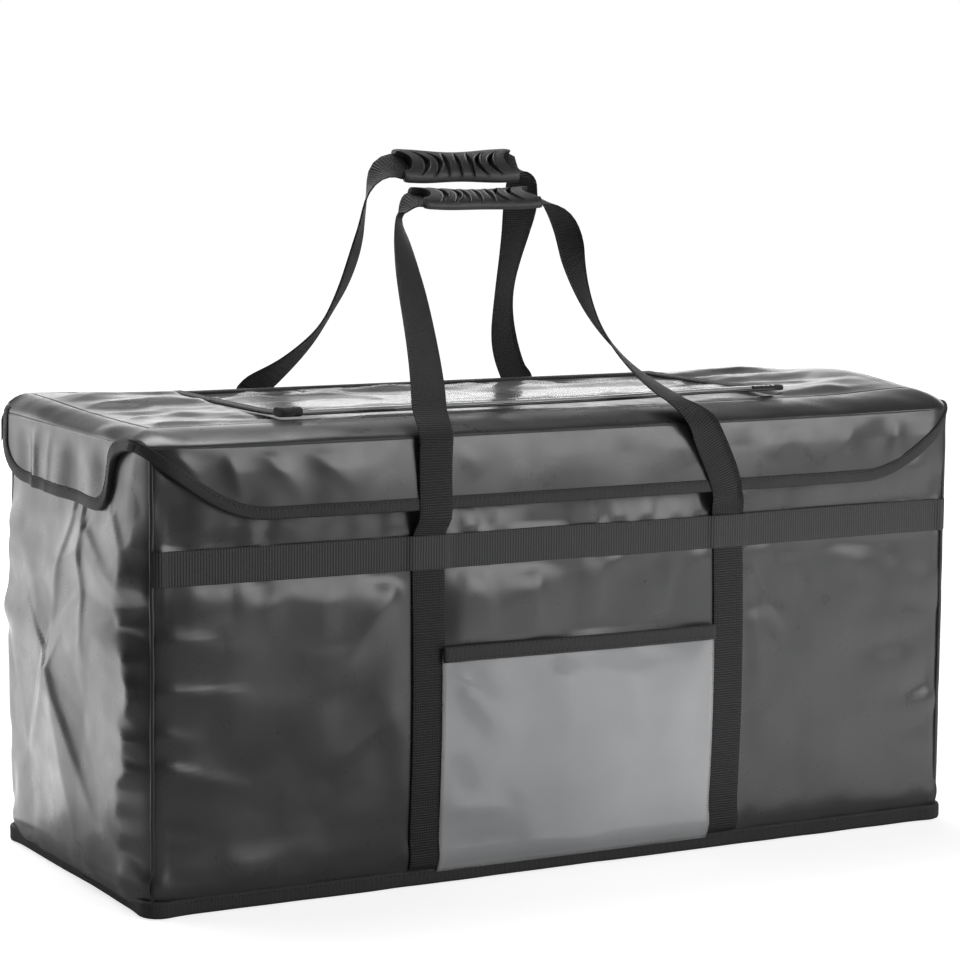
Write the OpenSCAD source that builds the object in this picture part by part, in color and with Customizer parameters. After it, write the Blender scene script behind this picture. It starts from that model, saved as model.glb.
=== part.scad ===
// Soft insulated food carrier: a foil-lined bag with a skirted lid, two webbing handles and two clear pockets.
// Millimetres. X runs to the right, Y to the rear, Z up; the floor is z = 0 under the middle of the base.

/* [Body] */
// Width of the bag from side panel to side panel
body_w = 760; // [560:10:960]
// Depth of the bag from front panel to back panel
body_d = 300; // [240:10:440]
// Height of the open rim above the floor
body_h = 370; // [345:5:460]

/* [Wall layers] */
// Thickness of the coated fabric skin
skin_t = 1; // [0.6:0.1:1.6]
// Thickness of the foam in the walls and the base
foam_t = 8; // [4:0.5:14]
// Thickness of the foil lining
lining_t = 0.6; // [0.4:0.1:1]
// Thickness of the stiff board under the base foam
board_t = 3; // [2:0.5:5]
// How far the left and right walls swell out in their middle
side_swell = 12; // [0:0.5:14]

/* [Bindings] */
// Thickness of the binding tape
tape_t = 0.8; // [0.5:0.1:1.2]
// Height of the tape folded over the rim
rim_tape_h = 8; // [5:1:14]
// Height of the bound seam round the base
base_tape_h = 15; // [13.5:0.5:20]
// How far the bound seam round the base stands out
base_tape_out = 4; // [2:0.5:6]
// Radius of the piping in the upright corner seams
piping_r = 2.4; // [1.5:0.1:3]

/* [Webbing] */
// Width of the webbing straps
web_w = 30; // [20:1:38]
// Thickness of the webbing
web_t = 1.5; // [1:0.1:2]
// Distance between the middles of the two straps on a panel
strap_spacing = 292; // [240:2:380]
// Height of the lower edge of the cross band
band_z = 262; // [225:1:264]
// Width of the cross band
band_w = 28; // [20:1:30]

/* [Front pocket] */
// Height of the pocket's open edge above the floor
pocket_top = 198; // [120:2:220]
// Width of the tape on the pocket's open edge
pocket_tape_w = 13; // [8:1:20]
// Thickness of the clear pocket film
film_t = 0.6; // [0.4:0.1:1]
// How far the pocket film stands out in its middle
film_swell = 9; // [0:0.5:12]

/* [Lid] */
// Thickness of the lid foam
lid_foam_t = 9; // [6:0.5:14]
// Thickness of the foam in the lid flaps
flap_foam_t = 3; // [2:0.5:5]
// Space between a body panel and the inside of a flap
flap_gap = 3; // [2.8:0.1:5]
// Depth of the flaps below the rim
flap_drop = 59; // [45:1:60]
// Width of the tape round the flap edges
flap_tape_w = 10; // [6:1:12]
// Rounding of the lid's upper edges
lid_edge_r = 9; // [4:0.5:9]
// Length over which the front flap's edge rises to the corner
front_rise = 100; // [80:1:110]
// Length over which a side flap's edge rises to the front corner
side_rise = 90; // [70:1:95]

/* [Top pocket] */
// Width of the document pocket on the lid
top_pocket_w = 480; // [300:10:500]
// Depth of the document pocket on the lid
top_pocket_d = 215; // [140:5:220]
// Distance of the pocket's open edge from the lid's front edge
top_pocket_front = 62; // [60:1:66]
// Width of the tape round the document pocket
top_tape_w = 12; // [8:1:16]

/* [Handles] */
// Length of a hand grip
grip_l = 114; // [105:1:135]
// Width of a hand grip
grip_w = 37; // [36:0.5:44]
// Thickness of a hand grip
grip_t = 13; // [11:0.5:16]
// Height of the front handle's grip above the lid
front_grip_rise = 170; // [130:5:200]
// Distance of the front handle's grip behind the middle of the bag
front_grip_back = 12; // [-5:1:15]
// Forward tilt of the front grip in degrees
front_grip_tilt = 20; // [0:1:30]
// Height of the rear handle's grip above the lid
back_grip_rise = 197; // [160:5:230]
// Distance of the rear handle's grip behind the middle of the bag
back_grip_back = 66; // [60:1:90]
// Forward tilt of the rear grip in degrees
back_grip_tilt = 32; // [0:1:40]
// Inward lean of the straps over the lid's edge: front left, front right, rear left, rear right
leg_lean = [12, 30, 6, 44]; // [0:1:50]
// Slack of those straps in the same order, from 0 for taut to 1 for drooping
leg_sag = [0.3, 0.85, 0.6, 0.3]; // [0:0.05:1]
// Reach of those straps beside the grips in the same order
leg_curl = [12, 32, 16, 16]; // [10:1:36]

/* [Hidden] */
$fn = 64;

skin_c = [0.20, 0.20, 0.21];
tape_c = [0.12, 0.12, 0.12];
web_c = [0.15, 0.15, 0.15];
foam_c = [0.90, 0.90, 0.88];
foil_c = [0.78, 0.79, 0.80];
film_c = [0.62, 0.63, 0.65, 0.6];
grip_c = [0.24, 0.24, 0.25];
board_c = [0.55, 0.55, 0.52];

// The body's half sizes and the depths at which its layers meet
bx = body_w / 2;
by = body_d / 2;
foam_in = skin_t + foam_t;
wall_t = foam_in + lining_t;
wall_top = body_h - tape_t;
floor_z = skin_t + board_t + foam_t;
piping_in = piping_r / 2;
seam_in = 1.5 * piping_r + 0.2;

// The rings of a swell, as parts of its size in from its edge and parts of its height, and its place on a wall or film
swell_rings = [[0.09, 0.6], [0.25, 1]];
ring_t = 0.01;
wall_swell_in = 1;
film_swell_in = 3;
film_rim = 1.5;

// The band and the straps under it
strap_x = strap_spacing / 2;
band_top = band_z + band_w;
free_gap = 0.3;
hem_slope = 4;

// The lid's outside and its heights
lid_gap = 0.4;
hinge_r = 1;
hinge_z = body_h + hinge_r + 0.05;
groove_r = hinge_r + 0.3;
flap_t = skin_t + flap_foam_t + lining_t;
lid_x = bx + flap_gap + flap_t;
lid_y = by + flap_gap + flap_t;
lid_z = body_h + lid_gap;
lid_top = lid_z + lining_t + lid_foam_t + skin_t;
fold_gap = 0.3;
flap_top = lid_z - fold_gap;
flap_low = body_h - flap_drop;
notch_drop = 5;
rear_in = 4;
rear_corner_r = 32;
curve_steps = 14;

// The free webbing passes this far in front of the middle of the bag
pass_gap = 1.2;
pass_y = lid_y + tape_t + pass_gap + web_t / 2;
slot_gap = 0.4;
pocket_gap = 1.3;

// A box between two corners
module span(a, b) {
    translate(a) cube(b - a);
}

// An outline drawn in X and Z, made solid from y0 over a thickness t
module facing_front(y0, t) {
    translate([0, y0 + t, 0]) rotate([90, 0, 0]) linear_extrude(t) children();
}

// An outline drawn in Y and Z, made solid from x0 over a thickness t
module facing_side(x0, t) {
    translate([x0, 0, 0]) rotate([90, 0, 90]) linear_extrude(t) children();
}

function reversed(list) = [for (i = [len(list) - 1:-1:0]) list[i]];
function bezier(p, t) = pow(1 - t, 3) * p[0] + 3 * t * pow(1 - t, 2) * p[1]
    + 3 * t * t * (1 - t) * p[2] + pow(t, 3) * p[3];
function curve(p, steps) = [for (i = [0:steps]) bezier(p, i / steps)];
function unit(v) = v / norm(v);

// A path moved sideways by d, to the left of its direction
function side_step(path, d) = [
    for (i = [0:len(path) - 1])
        let (along = unit(path[min(i + 1, len(path) - 1)] - path[max(i - 1, 0)]))
        path[i] + d * [-along[1], along[0]]
];

// A faceted swell over the outline from corner a to corner b, sunk below Z = 0 and rising to a height
module swell(a, b, sunk, height) {
    size = b - a;
    hull() {
        translate([a[0], a[1], -sunk]) cube([size[0], size[1], sunk]);
        for (ring = swell_rings) let (step = ring[0] * size)
            translate([a[0] + step[0], a[1] + step[1], ring[1] * height - ring_t])
                cube([size[0] - 2 * step[0], size[1] - 2 * step[1], ring_t]);
    }
}

// Wall panels: an outer skin, a foam layer and a foil lining; the skins of the side walls swell out
module end_slab(side, depth, t, half_w, low, high) {
    y0 = side < 0 ? -by + depth : by - depth - t;
    span([-half_w, y0, low], [half_w, y0 + t, high]);
}
module side_slab(side, depth, t, half_d, low, high) {
    x0 = side < 0 ? -bx + depth : bx - depth - t;
    span([x0, -half_d, low], [x0 + t, half_d, high]);
}
module end_skin(side) { color(skin_c) end_slab(side, 0, skin_t, bx - seam_in, skin_t, wall_top); }
module end_foam(side) { color(foam_c) end_slab(side, skin_t, foam_t, bx - seam_in, floor_z, wall_top); }
module end_lining(side) { color(foil_c) end_slab(side, foam_in, lining_t, bx - foam_in, floor_z, wall_top); }
module side_skin(side) {
    half_d = by - seam_in - wall_swell_in;
    color(skin_c) union() {
        side_slab(side, 0, skin_t, by - seam_in, skin_t, wall_top);
        mirror([side < 0 ? 1 : 0, 0, 0]) translate([bx, 0, 0]) rotate([90, 0, 90])
            swell([-half_d, base_tape_h + wall_swell_in], [half_d, flap_low - wall_swell_in], skin_t / 2, side_swell);
    }
}
module side_foam(side) { color(foam_c) side_slab(side, skin_t, foam_t, by - foam_in, floor_z, wall_top); }
module side_lining(side) { color(foil_c) side_slab(side, foam_in, lining_t, by - wall_t, floor_z, wall_top); }
module front_panel() { end_skin(-1); }
module back_panel() { end_skin(1); }
module left_panel() { side_skin(-1); }
module right_panel() { side_skin(1); }
module front_foam() { end_foam(-1); }
module back_foam() { end_foam(1); }
module left_foam() { side_foam(-1); }
module right_foam() { side_foam(1); }
module front_lining() { end_lining(-1); }
module back_lining() { end_lining(1); }
module left_lining() { side_lining(-1); }
module right_lining() { side_lining(1); }

// The base: a skin, a stiff board, foam and lining
module base_layer(inset, low, high) {
    span([-bx + inset, -by + inset, low], [bx - inset, by - inset, high]);
}
module base_panel() { color(skin_c) base_layer(0, 0, skin_t); }
module base_board() { color(board_c) base_layer(skin_t, skin_t, skin_t + board_t); }
module base_foam() { color(foam_c) base_layer(skin_t, skin_t + board_t, floor_z); }
module base_lining() { color(foil_c) base_layer(wall_t, floor_z, floor_z + lining_t); }

// A straight edging for each of the four sides, cut at 45 degrees where two meet
module four_sides(out) {
    mitre_in = wall_t + 10;
    mitre_gap = 0.05;
    for (turn = [0:3]) {
        half_run = turn % 2 == 0 ? bx : by;
        half_off = turn % 2 == 0 ? by : bx;
        rotate(turn * 90) intersection() {
            translate([-half_run - out, -half_off, 0]) rotate([90, 0, 90])
                linear_extrude(2 * (half_run + out)) children();
            linear_extrude(body_h) polygon([
                for (k = [[-1, 1], [1, 1], [1, -1], [-1, -1]])
                    let (step = k[1] > 0 ? out + 1 : -mitre_in)
                    [k[0] * (half_run + step - mitre_gap), -half_off - step]
            ]);
        }
    }
}
module rim_binding() {
    color(tape_c) four_sides(tape_t) difference() {
        translate([-tape_t, body_h - rim_tape_h]) square([wall_t + 2 * tape_t, rim_tape_h]);
        translate([0, body_h - rim_tape_h - 1]) square([wall_t, rim_tape_h + 1 - tape_t]);
    }
}
module base_binding() {
    color(tape_c) four_sides(base_tape_out) translate([-base_tape_out, 0]) square([base_tape_out, base_tape_h]);
}

// Piping in the four upright seams and in the seam that the lid turns on
module corner_piping() {
    color(tape_c) for (x = [-1, 1], y = [-1, 1])
        translate([x * (bx - piping_in), y * (by - piping_in), base_tape_h])
            cylinder(r = piping_r, h = body_h - rim_tape_h - base_tape_h);
}
module hinge_rod(r, half_l) {
    translate([-half_l, by, hinge_z]) rotate([0, 90, 0]) cylinder(r = r, h = 2 * half_l);
}
module hinge_piping() {
    color(tape_c) hinge_rod(hinge_r, bx - seam_in);
}

// Webbing sewn to the front and back: two upright runs, and a band that steps over them
module strap_run(side_x, side_y) {
    y0 = side_y < 0 ? -by - web_t : by;
    color(web_c) span([side_x * strap_x - web_w / 2, y0, base_tape_h], [side_x * strap_x + web_w / 2, y0 + web_t, band_top]);
}
module front_left_strap() { strap_run(-1, -1); }
module front_right_strap() { strap_run(1, -1); }
module back_left_strap() { strap_run(-1, 1); }
module back_right_strap() { strap_run(1, 1); }

// The band's edge as (x, distance from the panel), raised where it crosses a strap
function band_edge(lift) = concat(
    [[-bx + seam_in, lift]],
    [for (s = [-1, 1], k = [[-1, 1, 0], [-1, 0, 1], [1, 0, 1], [1, 1, 0]])
        [s * strap_x + k[0] * (web_w / 2 + k[1] * hem_slope), lift + k[2] * web_t]],
    [[bx - seam_in, lift]]
);
module band(side) {
    color(web_c) translate([0, side * by, band_z]) mirror([0, side < 0 ? 1 : 0, 0])
        linear_extrude(band_w) polygon(concat(band_edge(0), reversed(band_edge(web_t))));
}
module front_band() { band(-1); }
module back_band() { band(1); }

// The clear pocket between the front straps, with tape on its open edge
pocket_x = strap_x - web_w / 2 - 0.3;
module front_pocket_film() {
    y0 = -by - pocket_gap - film_t;
    low = [-pocket_x + film_swell_in, base_tape_h + film_swell_in];
    high = [pocket_x - film_swell_in, pocket_top - pocket_tape_w - film_swell_in];
    rim = [film_rim, film_rim];
    color(film_c) difference() {
        union() {
            span([-pocket_x, y0, base_tape_h], [pocket_x, y0 + film_t, pocket_top - tape_t]);
            translate([0, y0, 0]) rotate([90, 0, 0]) swell(low, high, film_t / 2, film_swell);
        }
        translate([0, y0 + film_t, 0]) rotate([90, 0, 0]) swell(low + rim, high - rim, film_t, film_swell);
    }
}
module front_pocket_binding() {
    y0 = -by - pocket_gap - film_t;
    color(tape_c) difference() {
        span([-pocket_x, y0 - tape_t, pocket_top - pocket_tape_w], [pocket_x, y0 + film_t + tape_t, pocket_top]);
        span([-bx, y0, 0], [bx, y0 + film_t, pocket_top - tape_t]);
    }
}

// The lid's top: a plate with rounded front and side edges, cut clear of the hinge piping
module edge_profile(half, r, low, high, rear_square) {
    translate([-half + r, low]) square([2 * half - (rear_square ? 1 : 2) * r, high - low]);
    translate([-half, low]) square([2 * half, high - low - r]);
    for (s = rear_square ? [-1] : [-1, 1]) translate([s * (half - r), high - r]) intersection() {
        circle(r);
        translate([-r, 0]) square([2 * r, r]);
    }
}
module lid_plate(inset, low, high) {
    r = min(lid_edge_r, high - low) - min(inset, lid_edge_r - 1);
    depth = lid_y + by - 2 * inset;
    intersection() {
        translate([0, by - inset - depth / 2, 0]) facing_side(-lid_x, 2 * lid_x)
            edge_profile(depth / 2, r, low, high, true);
        facing_front(-2 * lid_y, 4 * lid_y) edge_profile(lid_x - inset, r, low, high, false);
    }
}
module lid_panel() {
    color(skin_c) difference() {
        lid_plate(0, lid_z + lining_t, lid_top);
        lid_plate(skin_t, lid_z, lid_top - skin_t);
        hinge_rod(groove_r, lid_x);
    }
}
module lid_foam() {
    color(foam_c) difference() {
        lid_plate(skin_t, lid_z + lining_t, lid_top - skin_t);
        hinge_rod(groove_r, lid_x);
    }
}
module lid_lining() {
    color(foil_c) difference() {
        span([-lid_x, -lid_y, lid_z], [lid_x, by, lid_z + lining_t]);
        hinge_rod(groove_r, lid_x);
    }
}

// The document pocket on the lid, open at the front
top_pocket_y0 = -lid_y + top_pocket_front;
top_pocket_y1 = top_pocket_y0 + top_pocket_d;
module top_pocket_film() {
    half = top_pocket_w / 2 - tape_t;
    color(film_c) span(
        [-half, top_pocket_y0, lid_top + pocket_gap],
        [half, top_pocket_y1 - tape_t, lid_top + pocket_gap + film_t]
    );
}
module top_pocket_binding() {
    half = top_pocket_w / 2;
    film_low = lid_top + pocket_gap;
    high = film_low + film_t + tape_t;
    color(tape_c) difference() {
        span([-half, top_pocket_y0, lid_top], [half, top_pocket_y1, high]);
        span([-half + top_tape_w, -lid_y, 0], [half - top_tape_w, top_pocket_y1 - top_tape_w, 2 * lid_top]);
        span([-half + tape_t, -lid_y, film_low], [half - tape_t, top_pocket_y1 - tape_t, film_low + film_t]);
    }
}

// The free edge of the front flap from corner to corner, as (x, z)
function front_edge() = let (
    corner = [lid_x - 1, flap_top - notch_drop],
    foot = [corner[0] - front_rise, flap_low],
    ease = [corner + [-0.35 * front_rise, -0.45 * (corner[1] - foot[1])], foot + [0.45 * front_rise, 0]],
    half = curve([corner, ease[0], ease[1], foot], curve_steps)
) concat(half, reversed([for (p = half) [-p[0], p[1]]]));

// The free edge of a side flap from its front corner round to its rear end, as (y, z)
function side_edge() = let (
    corner = [-by - flap_gap + tape_t + fold_gap, flap_top - notch_drop],
    foot = [corner[0] + side_rise, flap_low],
    turn = [by - rear_in - rear_corner_r, flap_low + rear_corner_r]
) concat(
    curve([corner, corner + [0.8 * side_rise, 0], foot - [0.45 * side_rise, 0], foot], curve_steps),
    [for (a = [0:15:90]) turn + rear_corner_r * [sin(a), -cos(a)]],
    [[by - rear_in, flap_top]]
);

// A flap's cloth fills the space above its edge, inset from it; the tape is a strip along that edge
function below_fold(path) = [for (p = path) [p[0], min(p[1], flap_top)]];
module flap_area(edge) {
    path = below_fold(edge);
    last = len(path) - 1;
    polygon(concat([[path[0][0], flap_top]], path, [[path[last][0], flap_top]]));
}
module tape_area(edge, inner) {
    polygon(concat(edge, reversed(below_fold(inner))));
}
function front_inset(d) = side_step(front_edge(), -d);
function side_inset(d) = side_step(side_edge(), d);
module front_flap_layer(depth, t) {
    facing_front(-lid_y + depth, t) flap_area(front_inset(tape_t));
}
module side_flap_layer(side, depth, t) {
    mirror([side < 0 ? 1 : 0, 0, 0]) facing_side(lid_x - depth - t, t) flap_area(side_inset(tape_t));
}
module front_flap_panel() { color(skin_c) front_flap_layer(0, skin_t); }
module front_flap_foam() { color(foam_c) front_flap_layer(skin_t, flap_foam_t); }
module front_flap_lining() { color(foil_c) front_flap_layer(skin_t + flap_foam_t, lining_t); }
module front_flap_binding() {
    color(tape_c) difference() {
        facing_front(-lid_y - tape_t, flap_t + 2 * tape_t) tape_area(front_edge(), front_inset(flap_tape_w));
        facing_front(-lid_y, flap_t) flap_area(front_inset(tape_t));
    }
}
module side_flap_skin(side) { color(skin_c) side_flap_layer(side, 0, skin_t); }
module side_flap_foam(side) { color(foam_c) side_flap_layer(side, skin_t, flap_foam_t); }
module side_flap_lining(side) { color(foil_c) side_flap_layer(side, skin_t + flap_foam_t, lining_t); }
module side_flap_binding(side) {
    color(tape_c) mirror([side < 0 ? 1 : 0, 0, 0]) difference() {
        facing_side(lid_x - flap_t - tape_t, flap_t + 2 * tape_t) tape_area(side_edge(), side_inset(flap_tape_w));
        facing_side(lid_x - flap_t, flap_t) flap_area(side_inset(tape_t));
    }
}
module left_flap_panel() { side_flap_skin(-1); }
module left_flap_foam() { side_flap_foam(-1); }
module left_flap_lining() { side_flap_lining(-1); }
module left_flap_binding() { side_flap_binding(-1); }
module right_flap_panel() { side_flap_skin(1); }
module right_flap_foam() { side_flap_foam(1); }
module right_flap_lining() { side_flap_lining(1); }
module right_flap_binding() { side_flap_binding(1); }

// The route of a free strap for a handle in front: up from the band, past the flap, over the lid's edge and into the grip.
// The rear handle is the same seen from behind, so its grip lies at a negative distance.
foot_steps = 6;
flap_steps = 3;
edge_steps = 6;
leg_steps = 16;
curl_steps = 6;
function tail(list) = [for (i = [1:len(list) - 1]) list[i]];
function leg_route(leg, grip_y, grip_z) = let (
    lean = leg_lean[leg],
    sag = leg_sag[leg],
    curl = leg_curl[leg],
    start = [strap_x, -by - web_t / 2, band_top + free_gap],
    below = [strap_x, -pass_y, flap_low - 4],
    beside = [strap_x - 0.3 * lean, -pass_y, lid_z - 8],
    over = [strap_x - lean, -lid_y + 10, lid_top + 12 - 5 * sag],
    mouth = [grip_l / 2 + 2, grip_y, grip_z],
    drop = mouth + [curl, 0, -curl - 6],
    rise = unit([-0.3 * lean, 0, 45]),
    taut = unit(drop - over),
    slack = unit([drop[0] - over[0], 0.8 * (grip_y - over[1]), 0.06 * (grip_z - over[2])]),
    away = unit((1 - sag) * taut + sag * slack),
    upward = unit((1 - sag) * taut + (0.5 + 0.5 * sag) * [0, 0, 1]),
    hold = (0.3 + 0.12 * sag) * norm(drop - over)
) concat(
    curve([start, start + [0, -1, 7], below - [0, 0, 7], below], foot_steps),
    tail(curve([below, below + [0, 0, 15], beside - 15 * rise, beside], flap_steps)),
    tail(curve([beside, beside + 12 * rise, over - 11 * away, over], edge_steps)),
    tail(curve([over, over + hold * away, drop - hold * upward, drop], leg_steps)),
    tail(curve([drop, drop + 0.6 * curl * upward, mouth + [0.55 * curl, 0, 0], mouth], curl_steps)),
    [[grip_l / 4, grip_y, grip_z], [0, grip_y, grip_z]]
);

// Across the webbing: along X as far as the lid's edge, then turning to lie flat in the grip
twist_start = foot_steps + flap_steps + edge_steps;
function leg_twist(i) = let (t = max(0, min(1, (i - twist_start) / leg_steps))) t * t * (3 - 2 * t);
function leg_ring(route, i, tilt) = let (
    along = unit(route[min(i + 1, len(route) - 1)] - route[max(i - 1, 0)]),
    turn = leg_twist(i),
    flat = (1 - turn) * [1, 0, 0] + turn * [0, cos(tilt), sin(tilt)],
    across = unit(flat - (flat * along) * along) * web_w / 2,
    out = unit(cross(across, along)) * web_t / 2,
    p = route[i]
) [p - across - out, p + across - out, p + across + out, p - across + out];
function leg_rings(leg, grip_y, grip_z, tilt) = let (route = leg_route(leg, grip_y, grip_z))
    [for (i = [0:len(route) - 1]) leg_ring(route, i, tilt)];
function mirrored_ring(ring) = [for (p = ring) [-p[0], p[1], p[2]]];
module webbing_loop(left_leg, right_leg, grip_y, grip_z, tilt) {
    left = leg_rings(left_leg, grip_y, grip_z, tilt);
    rings = concat(
        leg_rings(right_leg, grip_y, grip_z, tilt),
        tail(reversed([for (ring = left) mirrored_ring(ring)]))
    );
    last = len(rings) - 1;
    polyhedron(
        points = [for (ring = rings, p = ring) p],
        faces = concat(
            [[0, 1, 2], [0, 2, 3]],
            [for (i = [0:last - 1], k = [0:3], half_quad = [0, 1])
                let (a = 4 * i + k, b = 4 * i + (k + 1) % 4)
                half_quad == 0 ? [a, a + 4, b + 4] : [a, b + 4, b]],
            [[4 * last + 2, 4 * last + 1, 4 * last], [4 * last + 3, 4 * last + 2, 4 * last]]
        )
    );
}

// A hand grip: a flat oval sleeve with a waist, hollow ends and rows of crescent cuts
module grip_plan() {
    waist_r = 900;
    mouth_r = 30;
    difference() {
        square([grip_l, grip_w], center = true);
        for (s = [-1, 1]) {
            translate([0, s * (grip_w / 2 + waist_r - 1.5)]) circle(waist_r, $fn = 360);
            translate([s * (grip_l / 2 + mouth_r - 5), 0]) circle(mouth_r);
        }
    }
}
module crescent(reach) {
    intersection() {
        difference() {
            translate([-reach, 0]) circle(reach + 2);
            translate([-reach - 4, 0]) circle(reach + 2);
        }
        square([4 * reach, 0.6 * grip_w], center = true);
    }
}
module lens() {
    intersection_for(s = [-1, 1]) translate([s * 24, 0]) circle(26.2);
}
module grip_cuts() {
    step = grip_l / 8.4;
    for (i = [-1:1]) translate([i * step, 0]) lens();
    for (s = [-1, 1], i = [2, 3]) translate([s * i * step, 0]) mirror([s < 0 ? 0 : 1, 0]) crescent(14);
}
module grip() {
    cut_depth = 2.2;
    difference() {
        intersection() {
            translate([-grip_l / 2, 0, 0]) rotate([90, 0, 90]) linear_extrude(grip_l) union() {
                square([grip_w - grip_t, grip_t], center = true);
                for (s = [-1, 1]) translate([s * (grip_w - grip_t) / 2, 0]) circle(grip_t / 2);
            }
            translate([0, 0, -grip_t]) linear_extrude(2 * grip_t) grip_plan();
        }
        cube([2 * grip_l, web_w + 2 * slot_gap, web_t + 2 * slot_gap], center = true);
        for (s = [0, 1]) mirror([0, 0, s]) translate([0, 0, grip_t / 2 - cut_depth])
            linear_extrude(cut_depth + 1) grip_cuts();
    }
}
module front_handle_strap() {
    color(web_c) webbing_loop(0, 1, front_grip_back, lid_top + front_grip_rise, front_grip_tilt);
}
module back_handle_strap() {
    color(web_c) mirror([0, 1, 0]) webbing_loop(2, 3, -back_grip_back, lid_top + back_grip_rise, -back_grip_tilt);
}
module front_grip() {
    color(grip_c) translate([0, front_grip_back, lid_top + front_grip_rise]) rotate([front_grip_tilt, 0, 0]) grip();
}
module back_grip() {
    color(grip_c) translate([0, back_grip_back, lid_top + back_grip_rise]) rotate([back_grip_tilt, 0, 0]) grip();
}

front_panel();
back_panel();
left_panel();
right_panel();
base_panel();
front_foam();
back_foam();
left_foam();
right_foam();
base_foam();
base_board();
front_lining();
back_lining();
left_lining();
right_lining();
base_lining();
rim_binding();
base_binding();
corner_piping();
hinge_piping();
front_band();
back_band();
front_left_strap();
front_right_strap();
back_left_strap();
back_right_strap();
front_pocket_film();
front_pocket_binding();
lid_panel();
lid_foam();
lid_lining();
top_pocket_film();
top_pocket_binding();
front_flap_panel();
front_flap_foam();
front_flap_lining();
front_flap_binding();
left_flap_panel();
left_flap_foam();
left_flap_lining();
left_flap_binding();
right_flap_panel();
right_flap_foam();
right_flap_lining();
right_flap_binding();
front_handle_strap();
front_grip();
back_handle_strap();
back_grip();
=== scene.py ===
import math
import bpy
import numpy as np
from mathutils import Matrix, Quaternion, Vector
from mathutils.geometry import delaunay_2d_cdt


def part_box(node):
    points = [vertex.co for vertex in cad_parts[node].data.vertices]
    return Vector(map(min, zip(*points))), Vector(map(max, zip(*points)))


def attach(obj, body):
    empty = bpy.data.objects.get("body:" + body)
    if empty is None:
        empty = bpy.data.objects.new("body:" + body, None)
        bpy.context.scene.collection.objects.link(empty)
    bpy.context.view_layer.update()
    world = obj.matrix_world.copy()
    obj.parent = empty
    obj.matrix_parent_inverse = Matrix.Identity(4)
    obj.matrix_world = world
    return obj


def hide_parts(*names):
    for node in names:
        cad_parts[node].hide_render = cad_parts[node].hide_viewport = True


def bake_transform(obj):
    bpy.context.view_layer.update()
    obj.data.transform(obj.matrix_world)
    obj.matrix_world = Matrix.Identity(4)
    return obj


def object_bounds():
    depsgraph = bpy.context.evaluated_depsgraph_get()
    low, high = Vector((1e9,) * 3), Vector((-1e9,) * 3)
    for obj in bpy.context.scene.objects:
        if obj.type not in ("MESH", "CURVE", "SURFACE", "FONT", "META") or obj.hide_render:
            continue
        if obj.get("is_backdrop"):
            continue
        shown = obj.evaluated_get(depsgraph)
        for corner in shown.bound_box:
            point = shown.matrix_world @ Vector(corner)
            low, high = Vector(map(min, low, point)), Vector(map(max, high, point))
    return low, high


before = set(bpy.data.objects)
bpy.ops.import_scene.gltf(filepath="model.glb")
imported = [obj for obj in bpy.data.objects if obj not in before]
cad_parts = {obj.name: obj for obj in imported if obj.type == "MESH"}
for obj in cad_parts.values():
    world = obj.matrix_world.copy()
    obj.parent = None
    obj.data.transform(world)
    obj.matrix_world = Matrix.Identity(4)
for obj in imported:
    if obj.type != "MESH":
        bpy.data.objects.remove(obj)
cad_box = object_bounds()
scene = bpy.context.scene
scene.view_settings.view_transform = "Standard"
MM = 0.001
RIGHT, REAR, UP = np.eye(3)
# How far apart the points of cloth, tapes and seams lie, and of the end walls and the lid's skirt
STEP = 0.004
FINE_STEP = 0.003


# Sizes, all taken from the frame

def low(node):
    return np.array(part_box(node)[0])


def high(node):
    return np.array(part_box(node)[1])


BX = high("base_panel")[0]
BY = high("base_panel")[1]
RIM = high("rim_binding")[2]
FLOOR = high("base_foam")[2]
LINING_X = low("right_lining")[0]
LINING_Y = low("back_lining")[1]
BASE_TAPE_TOP = high("base_binding")[2]
BASE_TAPE_OUT = high("base_binding")[0] - BX
BAND_LOW = low("front_band")[2]
BAND_TOP = high("front_band")[2]
STRAP_X = (low("front_right_strap")[0] + high("front_right_strap")[0]) / 2
WEB_W = high("front_right_strap")[0] - low("front_right_strap")[0]
WEB_T = high("front_right_strap")[1] - low("front_right_strap")[1]
POCKET_TOP = high("front_pocket_binding")[2]
POCKET_TAPE_W = POCKET_TOP - low("front_pocket_binding")[2]
LID_X = high("lid_panel")[0]
LID_Y = -low("lid_panel")[1]
LID_TOP = high("lid_panel")[2]
LID_LOW = low("lid_lining")[2]
FLAP_LOW = low("front_flap_binding")[2]
FLAP_T = high("front_flap_lining")[1] - low("front_flap_panel")[1]
GRIP_HALF = high("front_grip")[0]


# Points along lines and curves

def unit(v):
    v = np.asarray(v, float)
    return v / np.maximum(np.linalg.norm(v, axis=-1, keepdims=True), 1e-12)


def same_way(direction, path):
    """One direction for every point of a path."""
    return np.tile(np.asarray(direction, float), (len(path), 1))


def bezier(points, steps):
    a, b, c, d = (np.asarray(p, float) for p in points)
    t = np.linspace(0, 1, steps + 1)[:, None]
    return (1 - t) ** 3 * a + 3 * t * (1 - t) ** 2 * b + 3 * t * t * (1 - t) * c + t ** 3 * d


def lengths(path):
    return np.concatenate([[0], np.cumsum(np.linalg.norm(np.diff(path, axis=0), axis=1))])


def resample(path, step):
    path = np.asarray(path, float)
    at = lengths(path)
    wanted = np.linspace(0, at[-1], max(2, int(round(at[-1] / step)) + 1))
    return np.stack([np.interp(wanted, at, path[:, k]) for k in range(path.shape[1])], axis=1)


def clamp(value):
    return np.clip(value, 0, 1)


def eased(t):
    """A ramp from 0 to 1, made smooth at both ends."""
    return t * t * (3 - 2 * t)


def hump(away, size):
    """A smooth rise that is 1 at a place and fades away from it over that size."""
    return np.exp(-(away / size) ** 2)


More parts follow.
